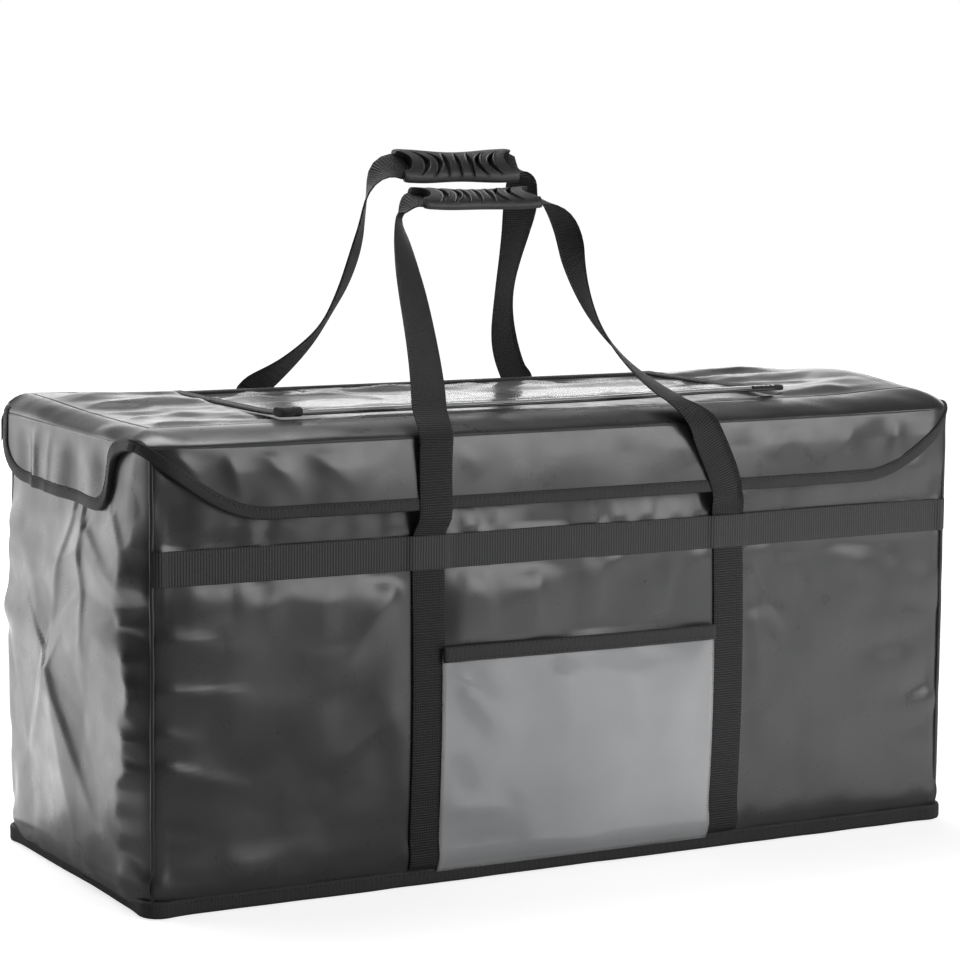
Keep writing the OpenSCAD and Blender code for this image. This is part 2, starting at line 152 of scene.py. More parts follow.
def from_edge(u, v, size):
    """How far the points of a panel lie from its nearest edge."""
    return np.minimum(np.minimum(u, size[0] - u), np.minimum(v, size[1] - v))


def noise(u, v, size, seed):
    """Smooth value noise from -1 to 1 on two coordinates in metres, with features of that size."""
    lattice = np.random.default_rng(seed).uniform(-1, 1, (64, 64))
    a, b = np.asarray(u, float) / size + 17.3, np.asarray(v, float) / size + 5.7
    i, j = np.floor(a).astype(int), np.floor(b).astype(int)
    s, t = eased(a - i), eased(b - j)
    corner = lambda di, dj: lattice[(i + di) % 64, (j + dj) % 64]
    near = corner(0, 0) * (1 - s) + corner(1, 0) * s
    far = corner(0, 1) * (1 - s) + corner(1, 1) * s
    return near * (1 - t) + far * t


def ripple(along, size, seed):
    """The same noise along a line."""
    return noise(along, 0 * along, size, seed)


# Meshes

def piece(name, verts, faces, uv, material, flat=0):
    """A mesh object from points, faces and a texture coordinate in metres for each point.

    It is smooth but for its last faces, as many as flat says.
    """
    mesh = bpy.data.meshes.new(name)
    mesh.from_pydata(np.asarray(verts).tolist(), [], [tuple(int(i) for i in f) for f in faces])
    layer = mesh.uv_layers.new(name="UVMap")
    loop_vertex = np.zeros(len(mesh.loops), int)
    mesh.loops.foreach_get("vertex_index", loop_vertex)
    layer.data.foreach_set("uv", np.asarray(uv, np.float32)[loop_vertex].ravel())
    smooth = np.ones(len(mesh.polygons), bool)
    smooth[len(smooth) - flat:] = False
    mesh.polygons.foreach_set("use_smooth", smooth)
    mesh.update()
    mesh.materials.append(material)
    obj = bpy.data.objects.new(name, mesh)
    scene.collection.objects.link(obj)
    return obj


def grid_normals(points):
    normal = np.cross(np.gradient(points, axis=1), np.gradient(points, axis=0))
    return unit(normal)


def sheet(name, points, thickness, material, inner=None):
    """A closed sheet whose outer face is a grid of points; its rows run so that the normal points out."""
    rows, cols = points.shape[:2]
    if inner is None:
        inner = points - thickness * grid_normals(points)
    across = np.stack([lengths(row) for row in points])
    along = np.stack([lengths(column) for column in points.swapaxes(0, 1)], axis=1)
    uv = np.stack([across, along], axis=2).reshape(-1, 2)
    index = np.arange(rows * cols).reshape(rows, cols)
    quads = np.stack([index[:-1, :-1], index[:-1, 1:], index[1:, 1:], index[1:, :-1]], axis=2).reshape(-1, 4)
    rim = np.concatenate([index[0, :], index[1:, -1], index[-1, -2::-1], index[-2:0:-1, 0]])
    count = rows * cols
    walls = [(a, a + count, b + count, b) for a, b in zip(rim, np.roll(rim, -1))]
    faces = quads.tolist() + (quads[:, ::-1] + count).tolist() + walls
    verts = np.concatenate([points.reshape(-1, 3), inner.reshape(-1, 3)])
    return piece(name, verts, faces, np.concatenate([uv, uv]), material, len(walls))


def sweep(name, path, across, out, profile, material, closed=False):
    """A profile of (across, out) offsets carried along a path."""
    path, profile = np.asarray(path), np.asarray(profile)
    n, k = len(path), len(profile)
    offsets = profile[None, :, :1] * across[:, None] + profile[None, :, 1:] * out[:, None]
    verts = (path[:, None] + offsets).reshape(-1, 3)
    around = lengths(np.concatenate([profile, profile[:1]]))[:-1]
    along = lengths(path)
    uv = np.stack([np.tile(around, n), np.repeat(along, k)], axis=1)
    faces = []
    for i in range(n if closed else n - 1):
        a, b = i * k, ((i + 1) % n) * k
        faces += [(a + j, a + (j + 1) % k, b + (j + 1) % k, b + j) for j in range(k)]
    if not closed:
        faces += [tuple(range(k))[::-1], tuple(range((n - 1) * k, n * k))]
    return piece(name, verts, faces, uv, material, 0 if closed else 2)


def flat_profile(width, thickness, edge=4):
    """A flat strip's outline with half-round edges, as (across, out)."""
    r = thickness / 2
    turn = np.linspace(-math.pi / 2, math.pi / 2, edge + 1)
    right = np.stack([width / 2 - r + r * np.cos(turn), r * np.sin(turn)], axis=1)
    middle = np.linspace(width / 2 - r, -width / 2 + r, 7)[1:-1]
    top = np.stack([middle, np.full(5, r)], axis=1)
    return np.concatenate([right, top, -right, -top])


def round_profile(radius, sides=12):
    turn = np.arange(sides) * 2 * math.pi / sides
    return radius * np.stack([np.cos(turn), np.sin(turn)], axis=1)


def stitches(name, path, across, out, at, pitch=0.0045, long=0.003, thick=0.0004):
    """A row of thread stitches along a path, moved by at = (across, out) from it."""
    line = path + at[0] * across + at[1] * out
    count = int(lengths(line)[-1] / pitch)
    where = (np.arange(count) + 0.5) / count * lengths(line)[-1]
    spread = lambda field: np.stack([np.interp(where, lengths(line), field[:, k]) for k in range(3)], axis=1)
    centre, aside, up = spread(line), unit(spread(across)), unit(spread(out))
    along = unit(np.cross(up, aside))
    sides, flatter = 5, 1.4
    thread = round_profile(1, sides)
    ring = flatter * thread[None, :, :1] * aside[:, None] + thread[None, :, 1:] * up[:, None]
    verts, faces = [], []
    for end, size in ((-1, 0.4), (0, 1.0), (1, 0.4)):
        verts.append(centre[:, None] + end * long / 2 * along[:, None] + size * thick * ring)
    verts = np.concatenate(verts, axis=1).reshape(-1, 3)
    beside = [(j, (j + 1) % sides, (j + 1) % sides + sides, j + sides) for j in range(sides)]
    ends = [tuple(range(sides))[::-1], tuple(range(2 * sides, 3 * sides))]
    stitch = beside + [tuple(i + sides for i in face) for face in beside] + ends
    for first in range(0, len(verts), 3 * sides):
        faces += [tuple(i + first for i in face) for face in stitch]
    return piece(name, verts, faces, np.zeros((len(verts), 2)), THREAD)


def place(obj, body, slot, *nodes):
    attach(obj, body)
    return dress(obj, slot, *nodes)


def dress(obj, slot, *nodes):
    if nodes:
        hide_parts(*nodes)
    return obj


# Materials

class Finish:
    """A principled shader with helpers that add procedural detail to it."""

    def __init__(self, name, color, roughness, **sockets):
        self.material = bpy.data.materials.new(name)
        self.material.use_nodes = True
        self.nodes = self.material.node_tree.nodes
        self.links = self.material.node_tree.links
        self.shader = self.nodes["Principled BSDF"]
        self.shader.inputs["Base Color"].default_value = (*color, 1)
        self.shader.inputs["Roughness"].default_value = roughness
        for socket, value in sockets.items():
            self.shader.inputs[socket.replace("_", " ")].default_value = value
        self.coordinate = self.nodes.new("ShaderNodeTexCoord")
        self.height = None

    def texture(self, kind, source, scale, **settings):
        """A noise, Voronoi or wave texture on object or UV coordinates in metres."""
        node = self.nodes.new("ShaderNodeTex" + kind)
        stretch = self.nodes.new("ShaderNodeMapping")
        stretch.inputs["Scale"].default_value = scale if isinstance(scale, tuple) else (scale, scale, scale)
        self.links.new(self.coordinate.outputs[source], stretch.inputs["Vector"])
        self.links.new(stretch.outputs["Vector"], node.inputs["Vector"])
        node.inputs["Scale"].default_value = 1
        for key, value in settings.items():
            socket = key.replace("_", " ")
            if socket in node.inputs:
                node.inputs[socket].default_value = value
            else:
                setattr(node, key, value)
        return node

    def output(self, node):
        return node.outputs["Fac"] if "Fac" in node.outputs else node.outputs[0]

    def ramp(self, node, socket, start, end, low_at=0.3, high_at=0.7):
        """Runs a shader socket between two values or colours as the texture goes from low to high."""
        ramp = self.nodes.new("ShaderNodeValToRGB")
        for element, value, at in zip(ramp.color_ramp.elements, (start, end), (low_at, high_at)):
            element.position = at
            element.color = (*value, 1) if isinstance(value, tuple) else (value, value, value, 1)
        self.links.new(self.output(node), ramp.inputs["Fac"])
        self.links.new(ramp.outputs["Color"], self.shader.inputs[socket])

    def bump(self, node, depth, strength=1.0):
        """Adds the texture to the surface's small relief, with that depth in metres."""
        bump = self.nodes.new("ShaderNodeBump")
        bump.inputs["Distance"].default_value = depth
        bump.inputs["Strength"].default_value = strength
        self.links.new(self.output(node), bump.inputs["Height"])
        if self.height is not None:
            self.links.new(self.height, bump.inputs["Normal"])
        self.height = bump.outputs["Normal"]
        self.links.new(self.height, self.shader.inputs["Normal"])

    def patches(self, socket, scale, detail, start, end):
        """Runs a shader socket between two values or colours in cloudy patches."""
        self.ramp(self.texture("Noise", "Object", scale, Detail=detail), socket, start, end)

    def grain(self, scale, detail, depth, strength):
        """Adds a fine uneven grain to the surface's small relief."""
        self.bump(self.texture("Noise", "Object", scale, Detail=detail), depth, strength)


def coated_fabric(name, dark, light, roughness):
    finish = Finish(name, light, roughness, Specular_IOR_Level=0.5, Coat_Weight=0.12, Coat_Roughness=0.3)
    finish.patches("Base Color", 14, 4, dark, light)
    finish.patches("Roughness", 45, 3, roughness - 0.05, roughness + 0.06)
    finish.grain(70, 1, 0.00015, 0.5)
    return finish.material


# The wave texture's own scale at which one wave is one unit long
ONE_WAVE = 0.314159


def woven(name, dark, light, roughness, pitch, relief):
    """A woven band: ribs across its length with finer yarns along it."""
    finish = Finish(name, light, roughness, Specular_IOR_Level=0.2)
    ribs = finish.texture("Wave", "UV", (0.1, 1 / pitch, 1), wave_type="BANDS", bands_direction="Y",
                          Scale=ONE_WAVE, Distortion=0.6, Detail_Scale=2)
    yarns = finish.texture("Wave", "UV", (1.3 / pitch, 0.1, 1), wave_type="BANDS", bands_direction="X",
                           Scale=ONE_WAVE)
    finish.ramp(ribs, "Base Color", dark, light, 0.1, 0.9)
    finish.bump(ribs, relief)
    finish.bump(yarns, relief * 0.5, 0.7)
    return finish.material


def foil(name):
    finish = Finish(name, (0.78, 0.79, 0.8), 0.24, Metallic=1)
    finish.patches("Roughness", 60, 4, 0.18, 0.34)
    finish.patches("Base Color", 20, 3, (0.7, 0.71, 0.72), (0.84, 0.85, 0.86))
    finish.bump(finish.texture("Voronoi", "Object", 110, feature="SMOOTH_F1"), 0.002, 0.5)
    finish.grain(320, 4, 0.0005, 0.5)
    return finish.material


def clear_film(name, cloud, smooth, rough, gloss):
    """Clear film; cloud is how much of what lies behind it is veiled."""
    finish = Finish(name, (0.5, 0.505, 0.515), rough, Alpha=cloud, Specular_IOR_Level=gloss,
                    Coat_Weight=gloss, Coat_Roughness=smooth)
    finish.patches("Roughness", 18, 3, smooth, rough)
    finish.patches("Base Color", 9, 2, (0.44, 0.445, 0.455), (0.55, 0.555, 0.565))
    finish.grain(22, 2, 0.0012, 0.5)
    return finish.material


def grained(name, dark, light, roughness, grain, depth):
    finish = Finish(name, light, roughness)
    finish.patches("Base Color", 40, 3, dark, light)
    finish.grain(grain, 2, depth, 0.6)
    return finish.material


FABRIC = coated_fabric("coated_fabric", (0.031, 0.0313, 0.0322), (0.04, 0.0404, 0.0415), 0.305)
BAND_WEB = woven("band_webbing", (0.038, 0.038, 0.0387), (0.058, 0.058, 0.0591), 0.6,
                 pitch=0.0024, relief=0.0003)
WEBBING = woven("webbing", (0.015, 0.015, 0.0153), (0.036, 0.036, 0.0367), 0.55, pitch=0.0021, relief=0.0005)
TAPE = woven("binding_tape", (0.028, 0.028, 0.0286), (0.05, 0.05, 0.051), 0.55, pitch=0.0012, relief=0.0002)
PIPING = grained("piping", (0.02, 0.02, 0.0205), (0.03, 0.03, 0.031), 0.34, grain=700, depth=0.0002)
FOIL = foil("foil")
FILM = clear_film("clear_film", cloud=0.46, smooth=0.09, rough=0.18, gloss=0.5)
TOP_FILM = clear_film("clear_film_top", cloud=0.16, smooth=0.07, rough=0.15, gloss=0.26)
TOP_HEM = clear_film("clear_film_hem", cloud=0.6, smooth=0.06, rough=0.12, gloss=0.3)
RUBBER = grained("grip_rubber", (0.019, 0.019, 0.0195), (0.027, 0.027, 0.028), 0.5, grain=900, depth=0.0003)
# Darker rubber for the faces inside the grip's cuts: painted shade in the recesses, the same rubber as the
# rest of the grip
RUBBER_PAINTED_SHADE = grained("grip_rubber_painted_shade", (0.006, 0.006, 0.0062), (0.009, 0.009, 0.0093), 0.6,
                     grain=900, depth=0.0003)
FOAM = grained("foam", (0.78, 0.78, 0.76), (0.86, 0.86, 0.84), 0.8, grain=600, depth=0.0005)
BOARD = grained("board", (0.34, 0.34, 0.32), (0.42, 0.42, 0.4), 0.5, grain=300, depth=0.0002)
THREAD = grained("thread", (0.02, 0.02, 0.0205), (0.034, 0.034, 0.035), 0.6, grain=2500, depth=0.0002)


# Thickness of the sheets
SKIN_T = 0.001
FOIL_T = 0.0004
FILM_T = 0.0005


# Creases

def facets(u, v, size, spots, softness):
    """Creased relief over a panel: spots of (u, v, height) and its level edge, joined by flat triangles."""
    wide, tall = size
    steps = np.linspace(0, 1, 5)[:-1]
    edge = [(wide * t, 0, 0) for t in steps] + [(wide, tall * t, 0) for t in steps]
    edge += [(wide * (1 - t), tall, 0) for t in steps] + [(0, tall * (1 - t), 0) for t in steps]
    every = edge + list(spots)
    places = [Vector(spot[:2]) for spot in every]
    corners, _, triangles, sources, _, _ = delaunay_2d_cdt(places, [], [], 0, 1e-7)
    heights = [every[source[0]][2] for source in sources]
    relief = np.zeros(u.shape)
    for triangle in triangles:
        (ax, ay), (bx, by), (cx, cy) = (corners[i] for i in triangle)
        area = (by - cy) * (ax - cx) + (cx - bx) * (ay - cy)
        if abs(area) < 1e-12:
            continue
        first = ((by - cy) * (u - cx) + (cx - bx) * (v - cy)) / area
        second = ((cy - ay) * (u - cx) + (ax - cx) * (v - cy)) / area
        third = 1 - first - second
        inside = (first >= -1e-6) & (second >= -1e-6) & (third >= -1e-6)
        value = first * heights[triangle[0]] + second * heights[triangle[1]] + third * heights[triangle[2]]
        relief[inside] = value[inside]
    return soften(relief, softness)


def soften(field, times):
    for _ in range(times):
        wide = np.pad(field, 1, mode="edge")
        field = (wide[:-2, 1:-1] + wide[2:, 1:-1] + wide[1:-1, :-2] + wide[1:-1, 2:] + 2 * field) / 6
    return field


def scatter(size, count, height, seed):
    """Spots spread over a panel with heights to either side."""
    rng = np.random.default_rng(seed)
    spots = rng.uniform(0.06, 0.94, (count, 2)) * np.asarray(size)
    heights = rng.uniform(0.4, 1.0, count) * height * np.where(np.arange(count) % 2, 1, -0.6)
    return [(u, v, h) for (u, v), h in zip(spots.tolist(), heights.tolist())]


def fold_line(u, v, start, end, height, steep, broad):
    """A fold from start to end, steep to its left and broad to its right, that fades at its far end."""
    run_u, run_v = end[0] - start[0], end[1] - start[1]
    length = math.hypot(run_u, run_v)
    t = clamp(((u - start[0]) * run_u + (v - start[1]) * run_v) / length ** 2)
    right = (u - start[0]) * run_v - (v - start[1]) * run_u > 0
    away = np.hypot(u - start[0] - t * run_u, v - start[1] - t * run_v)
    return height * np.exp(-(away / np.where(right, broad, steep)) ** 1.4) * (1 - t) * (1 + t)


def fold_relief(u, v, folds):
    """The folds of a list, each with its start, end, height and breadth to the left and right in mm."""
    return sum(fold_line(u, v, np.array(start) * MM, np.array(end) * MM, height * MM, steep * MM, broad * MM)
               for start, end, height, steep, broad in folds)


def gathers(along, away, height, pitch, reach, seed):
    """Tongues of gathered cloth that run out from a seam, along it and away from it in metres."""
    length = reach * (1 + 0.6 * ripple(along, pitch * 2.2, seed + 1))
    tongue = noise(along + 0.25 * away * ripple(along, pitch * 3, seed + 2), 0 * along, pitch, seed)
    return height * tongue * np.exp(-(np.asarray(away) / length) ** 1.3)


def seam_gathers(along, away, height, pitch, reach, seed):
    """Gathers that start level with the seam itself."""
    return gathers(along, away, height, pitch, reach, seed) * clamp(away / 0.004)


# Soft sheets, relaxed under their own slack

def pairs(step):
    """Slices of the first and the second of the points that lie that many steps apart."""
    if step < 0:
        return slice(-step, None), slice(0, step)
    return slice(0, -step or None), slice(step, None)


# How stiff a sheet is against shear, and how far past its balance each step of settling goes
SHEAR = 0.6
PAST_BALANCE = 1.6


def relax(points, normal, pinned, rest, near, far, rounds, bend):
    """Settles a grid of points whose rest lengths are a little longer than the room they have."""
    over, up, slant = rest
    ties = [((0, 1), over, 1.0), ((1, 0), up, 1.0), ((1, 1), slant, SHEAR), ((1, -1), slant, SHEAR),
            ((0, 2), 2 * over, bend), ((2, 0), 2 * up, bend)]
    free = (~pinned)[..., None]
    for _ in range(rounds):
        move = np.zeros_like(points)
        weight = np.full(points.shape[:2] + (1,), 1e-6)
        for (di, dj), want, stiff in ties:
            a, b = zip(pairs(di), pairs(dj))
            gap = points[b] - points[a]
            size = np.linalg.norm(gap, axis=2, keepdims=True)
            error = (size - want) / size
            if 2 in (di, dj):
                error = np.minimum(error, 0)
            step = 0.5 * stiff * error * gap
            move[a] += step
            move[b] -= step
            weight[a] += stiff
            weight[b] += stiff
        points = points + free * move * (PAST_BALANCE / weight)
        offset = points @ normal
        points = points + free * (np.clip(offset, near, far) - offset)[..., None] * normal
    return points


def nowhere(u, v):
    return np.zeros(u.shape, bool)


def level_panel(u, v):
    return 0 * u


# From coarse to fine: the grid's spacing, its rounds of settling and how stiff it is in bending
STAGES = ((4, 320, 0.5), (2, 200, 0.35), (1, 80, 0.25))


def slack_sheet(origin, right, upward, size, base, relief, pin, slack, seed, reach, spacing=STEP, level=0.0):
    """A panel with a bulge base(u, v) and creases relief(u, v) that buckles where pin(u, v) is not true.

    slack is how much longer it is cut than its room, across and up. reach is how far it may stand
    in and out, which is less within the distance level of its edges.
    """
    right, upward = np.asarray(right, float), np.asarray(upward, float)
    normal = np.cross(right, upward)
    origin = np.asarray(origin, float)
    points = None
    for scale, rounds, bend in STAGES:
        cols = max(4, int(round(size[0] / spacing / scale)) + 1)
        rows = max(4, int(round(size[1] / spacing / scale)) + 1)
        u, v = np.meshgrid(np.linspace(0, size[0], cols), np.linspace(0, size[1], rows))
        rise = base(u, v)
        flat = origin + u[..., None] * right + v[..., None] * upward
        if points is None:
            start = rise + 0.0016 * noise(u, v, 0.06, seed) + 0.0012 * noise(u, v, 0.025, seed + 1)
            points = flat + start[..., None] * normal
        else:
            points = refine(points, rows, cols)
        pinned = pin(u, v)
        pinned[0, :] = pinned[-1, :] = True
        pinned[:, 0] = pinned[:, -1] = True
        points = np.where(pinned[..., None], flat + rise[..., None] * normal, points)
        over = size[0] / (cols - 1) * (1 + slack[0])
        up = size[1] / (rows - 1) * (1 + slack[1])
        rest = (over, up, math.hypot(over, up))
        level_zero = origin @ normal
        room = 1 - hump(from_edge(u, v, size), level) if level else 1
        near, far = rise + room * reach[0] + level_zero, rise + room * reach[1] + level_zero
        points = relax(points, normal, pinned, rest, near, far, rounds, bend)
    offset = points @ normal
    creased = np.clip(offset + relief(u, v) * ~pinned, near, far)
    return points + (creased - offset)[..., None] * normal


def refine(points, rows, cols):
    """The grid resampled to more rows and columns."""
    old_rows, old_cols = points.shape[:2]
    at_row = np.linspace(0, old_rows - 1, rows)
    at_col = np.linspace(0, old_cols - 1, cols)
    r, c = np.minimum(at_row.astype(int), old_rows - 2), np.minimum(at_col.astype(int), old_cols - 2)
    s, t = (at_row - r)[:, None, None], (at_col - c)[None, :, None]
    near = points[r][:, c] * (1 - t) + points[r][:, c + 1] * t
    far = points[r + 1][:, c] * (1 - t) + points[r + 1][:, c + 1] * t
    return near * (1 - s) + far * s


# Walls

WALL_LOW = 0.006
WALL_TOP = RIM - 0.002
SEAM = 0.0012
FRONT_CROWN = 0.011
SIDE_CROWN = 0.0145
# Shifts that give the two sides of a wall, and the two sides of a band, gathers of their own
OTHER_SIDE = 0.7
BELOW_BAND = 0.9
# How far from a front and a rear upright seam an end wall takes to come out, and how full it is there
SIDE_FRONT = (0.034, 1.0)
SIDE_REAR = (0.014, 0.55)


def crown(z):
    """How full a wall is at a height, from 0 at its edges to 1."""
    return np.sin(math.pi * clamp(np.asarray(z) / RIM) ** 0.8)


def hem(z):
    """The bulge of a wall over the bound seam round the base."""
    z = np.asarray(z)
    return 0.0034 * hump(z - 0.025, 0.011) - 0.0012 * hump(z - 0.008, 0.006)


def long_wall_out(x, z):
    """How far a long wall's skin stands out from its flat panel."""
    return FRONT_CROWN * crown(z) * (1 - (np.asarray(x) / BX) ** 2) + hem(z)


def rolled(edge):
    """The ridge and the turn of a long wall at its upright seam."""
    return 0.0026 * hump(edge - 0.0075, 0.004) - 0.0022 * np.exp(-edge / 0.003)


# Folds seen on the front: from, to, height, and how broad they are to the left and right, in mm
FRONT_FOLDS = [
    ((-379, 224), (-322, 216), 2.4, 4, 8), ((-379, 180), (-292, 174), 3.0, 4, 10),
    ((-379, 148), (-334, 136), 2.0, 5, 9), ((-379, 122), (-280, 94), 2.4, 5, 13),
    ((-379, 64), (-325, 52), 1.8, 6, 10), ((-166, 256), (-262, 132), 4.5, 12, 34),
    ((-166, 150), (-250, 96), 3.0, 10, 26), ((-300, 30), (-215, 60), 2.5, 20, 30),
    ((-95, 262), (-85, 205), 3.5, 8, 16), ((-40, 266), (-44, 200), 3.2, 9, 26),
    ((22, 266), (16, 205), 2.6, 7, 22), ((95, 262), (80, 205), 3.0, 10, 20),
    ((166, 264), (208, 186), -2.8, 6, 14), ((163, 236), (188, 120), 2.4, 7, 18),
    ((290, 266), (330, 218), -2.8, 8, 14), ((379, 185), (330, 205), -2.2, 10, 10),
    ((379, 128), (335, 120), -2.2, 10, 10), ((379, 96), (318, 80), -2.0, 10, 14)]


def long_wall(name, origin, right, seed, seen_folds):
    """A long wall's skin, sewn down along its straps and band and gathered at its upright seams."""
    length = 2 * (BX - SEAM)
    size = (length, WALL_TOP - WALL_LOW)
    creases = scatter(size, 34, 0.0014, seed + 3)
    folds = scatter(size, 22, 0.004, seed + 4)

    def base(u, v):
        edge = np.minimum(u, length - u)
        return long_wall_out(u - length / 2, v + WALL_LOW) + rolled(edge) * np.clip((0.33 - v) / 0.04, 0.3, 1)

    def relief(u, v):
        x, z = u - length / 2, v + WALL_LOW
        edge = np.minimum(u, length - u)
        side = np.where(u < length / 2, 0.0, OTHER_SIDE)
        from_strap = np.abs(np.abs(x) - STRAP_X) - WEB_W / 2
        from_band = np.minimum(np.abs(z - BAND_LOW), np.abs(z - BAND_TOP))
        strap_room = np.where(z < BAND_TOP, 1 - hump(np.maximum(from_strap, 0), 0.012), 1)
        room = strap_room * (1 - hump(from_band, 0.013)) * clamp(edge / 0.006) * clamp(v / 0.02)
        pocket = (np.abs(x) < STRAP_X) & (z < POCKET_TOP)
        broad = facets(u, v, size, folds, 30) + facets(u, v, size, creases, 3) + fold_relief(x, z, seen_folds)
        height = broad * room * np.where(pocket, 0.25, 1)
        height = height + seam_gathers(z + side, edge, height=0.0024, pitch=0.022, reach=0.045, seed=seed + 5)
        tall = np.where(z > BAND_TOP, 2.2, 1.0)
        along_band = x + np.where(z > BAND_TOP, 0, BELOW_BAND)
        over_band = tall * gathers(along_band, from_band / tall, height=0.0009, pitch=0.014, reach=0.018,
                                   seed=seed + 7)
        height = height + over_band * strap_room * clamp(from_band / 0.003)
        low_edge = seam_gathers(x, v, height=0.0012, pitch=0.025, reach=0.02, seed=seed + 9)
        return height + low_edge * strap_room

    def pin(u, v):
        x, z = u - length / 2, v + WALL_LOW
        strap = (np.abs(np.abs(x) - STRAP_X) < WEB_W / 2) & (z < BAND_TOP)
        return strap | ((z > BAND_LOW) & (z < BAND_TOP))

    slack = (0.004, 0.004)
    points = slack_sheet((*origin, WALL_LOW), right, (0, 0, 1), size, base, relief, pin,
                         slack, seed, reach=(-0.0025, 0.007))
    skin = place(sheet(name + "_skin", points, SKIN_T, FABRIC), "bag", "coated_fabric", name + "_panel")


def under_flap(z):
    """Less fullness where the lid's flap lies over the wall."""
    return 1 - 0.65 * eased(clamp((z - 0.262) / 0.05))


def turned_out(edge, z, reach, seed):
    """How far an end wall has come out from its upright seam: a slope up to a ragged fold, then level."""
    ragged = 1 + 0.42 * ripple(z, 0.032, seed) + 0.26 * ripple(z, 0.013, seed + 1)
    short = 1 - edge / (reach * np.clip(ragged, 0.6, 1.5))
    return 1 - 0.5 * (short + np.sqrt(short ** 2 + 0.004))


def end_wall(name, origin, right, spots, seen_folds, ends, seed):
    """An end wall's skin: full and creased, turned in and gathered at its upright seams."""
    length = 2 * (BY - SEAM)
    size = (length, WALL_TOP - WALL_LOW)
    fine = scatter(size, 18, 0.0011, seed + 3)

    def base(u, v):
        edge = np.minimum(u, length - u)
        z = v + WALL_LOW
        (first, full_first), (last, full_last) = ends
        out = np.where(u < length / 2, turned_out(edge, z, first, seed + 9),
                       turned_out(edge, z, last, seed + 10))
        full = full_first + (full_last - full_first) * u / length
        full = out * np.sin(math.pi * clamp(z / RIM)) ** 0.3 * full
        return (SIDE_CROWN * full + hem(z)) * under_flap(z) - 0.0022 * np.exp(-edge / 0.005)

    def relief(u, v):
        edge = np.minimum(u, length - u)
        side = np.where(u < length / 2, 0.0, OTHER_SIDE)
        height = facets(u, v, size, np.array(spots) * MM, 1) + facets(u, v, size, fine, 2)
        height = height * under_flap(v + WALL_LOW) + fold_relief(u, v, seen_folds)
        height = height + seam_gathers(v + side, edge, height=0.0044, pitch=0.026, reach=0.046, seed=seed + 5)
        return height + seam_gathers(u, v, height=0.0016, pitch=0.022, reach=0.03, seed=seed + 7)

    points = slack_sheet((*origin, WALL_LOW), right, (0, 0, 1), size, base, relief, nowhere,
                         (0.0, 0.0), seed, reach=(-0.0006, 0.008), spacing=FINE_STEP)
    skin = place(sheet(name + "_skin", points, SKIN_T, FABRIC), "bag", "coated_fabric", name + "_panel")


# Creases seen on the left wall, as places from its rear lower corner and heights in mm: a star below
# the middle and long folds above it
LEFT_CREASES = [
    (120, 166, 5.5), (117, 20, 0.5), (221, 48, 1), (59, 88, 0), (170, 30, 3), (115, 201, -1),
    (157, 298, -1.5), (136, 250, 3), (185, 275, 3), (181, 239, -1), (216, 209, 2), (85, 233, 2.5),
    (79, 288, 0), (22, 181, 2), (91, 159, -1), (245, 296, 2), (262, 232, -1), (190, 140, -1),
    (30, 50, 2)]
# Folds seen on the left wall, from that corner: from, to, height, and breadth to either side, in mm
LEFT_FOLDS = [
    ((155, 296), (115, 194), 2.2, 5, 20), ((178, 292), (196, 180), 2.6, 5, 24),
    ((190, 286), (272, 243), 2.2, 5, 18), ((237, 304), (279, 262), 2.0, 4, 14),
    ((119, 160), (235, 24), 3.0, 6, 40), ((119, 160), (60, 80), 1.6, 8, 25)]
RIGHT_CREASES = [
    (80, 240, 4), (150, 180, -2), (210, 220, 4), (120, 100, 4), (220, 110, -2), (50, 140, -2),
    (180, 40, 3), (70, 50, 2), (160, 290, -1), (250, 280, 3)]
# The back is not shown: it has every second fold of the front, mirrored
BACK_FOLDS = [((-start[0], start[1]), (-end[0], end[1]), *shape) for start, end, *shape in FRONT_FOLDS[::2]]
long_wall("front", (-BX + SEAM, -BY), (1, 0, 0), 11, FRONT_FOLDS)
long_wall("back", (BX - SEAM, BY), (-1, 0, 0), 21, BACK_FOLDS)
end_wall("left", (-BX, BY - SEAM), (0, -1, 0), LEFT_CREASES, LEFT_FOLDS, (SIDE_REAR, SIDE_FRONT), 31)
end_wall("right", (BX, -BY + SEAM), (0, 1, 0), RIGHT_CREASES, [], ((0.05, 0.7), SIDE_REAR), 41)


# Edges of the body: base tape, rim tape and corner piping

def loop(half_x, half_y, radius, step):
    """A rounded rectangle seen from above, with its outward directions."""
    parts = []
    for quarter in range(4):
        turn = np.linspace(0, math.pi / 2, 9) + quarter * math.pi / 2
        sx, sy = [(1, 1), (-1, 1), (-1, -1), (1, -1)][quarter]
        centre = np.array([sx * (half_x - radius), sy * (half_y - radius)])
        parts.append(centre + radius * np.stack([np.cos(turn), np.sin(turn)], axis=1))
    ring = np.concatenate(parts + [parts[0][:1]])
    ring = resample(ring, step)[:-1]
    along = unit(np.roll(ring, -1, axis=0) - np.roll(ring, 1, axis=0))
    return ring, np.stack([along[:, 1], -along[:, 0]], axis=1)


def loop_tape(name, half_x, half_y, radius, middle, tall, thick, sway, ears, seed):
    """A tape round the body; it sways in and out and stands out further at its corners."""
    ring, out = loop(half_x, half_y, radius, STEP)
    at = lengths(ring)
    from_corner = np.hypot(half_x - np.abs(ring[:, 0]), half_y - np.abs(ring[:, 1]))
    heights = middle + 0.0003 * ripple(at, 0.045, seed)
    shift = sway * ripple(at, 0.03, seed + 1) + ears * hump(from_corner, 1.2 * radius)
    path = np.concatenate([ring + shift[:, None] * out, heights[:, None]], axis=1)
    outward = np.concatenate([out, np.zeros((len(out), 1))], axis=1)
    upward = same_way(UP, path)
    tape = sweep(name, path, upward, outward, flat_profile(tall, thick), TAPE, closed=True)
    return tape, path, upward, outward


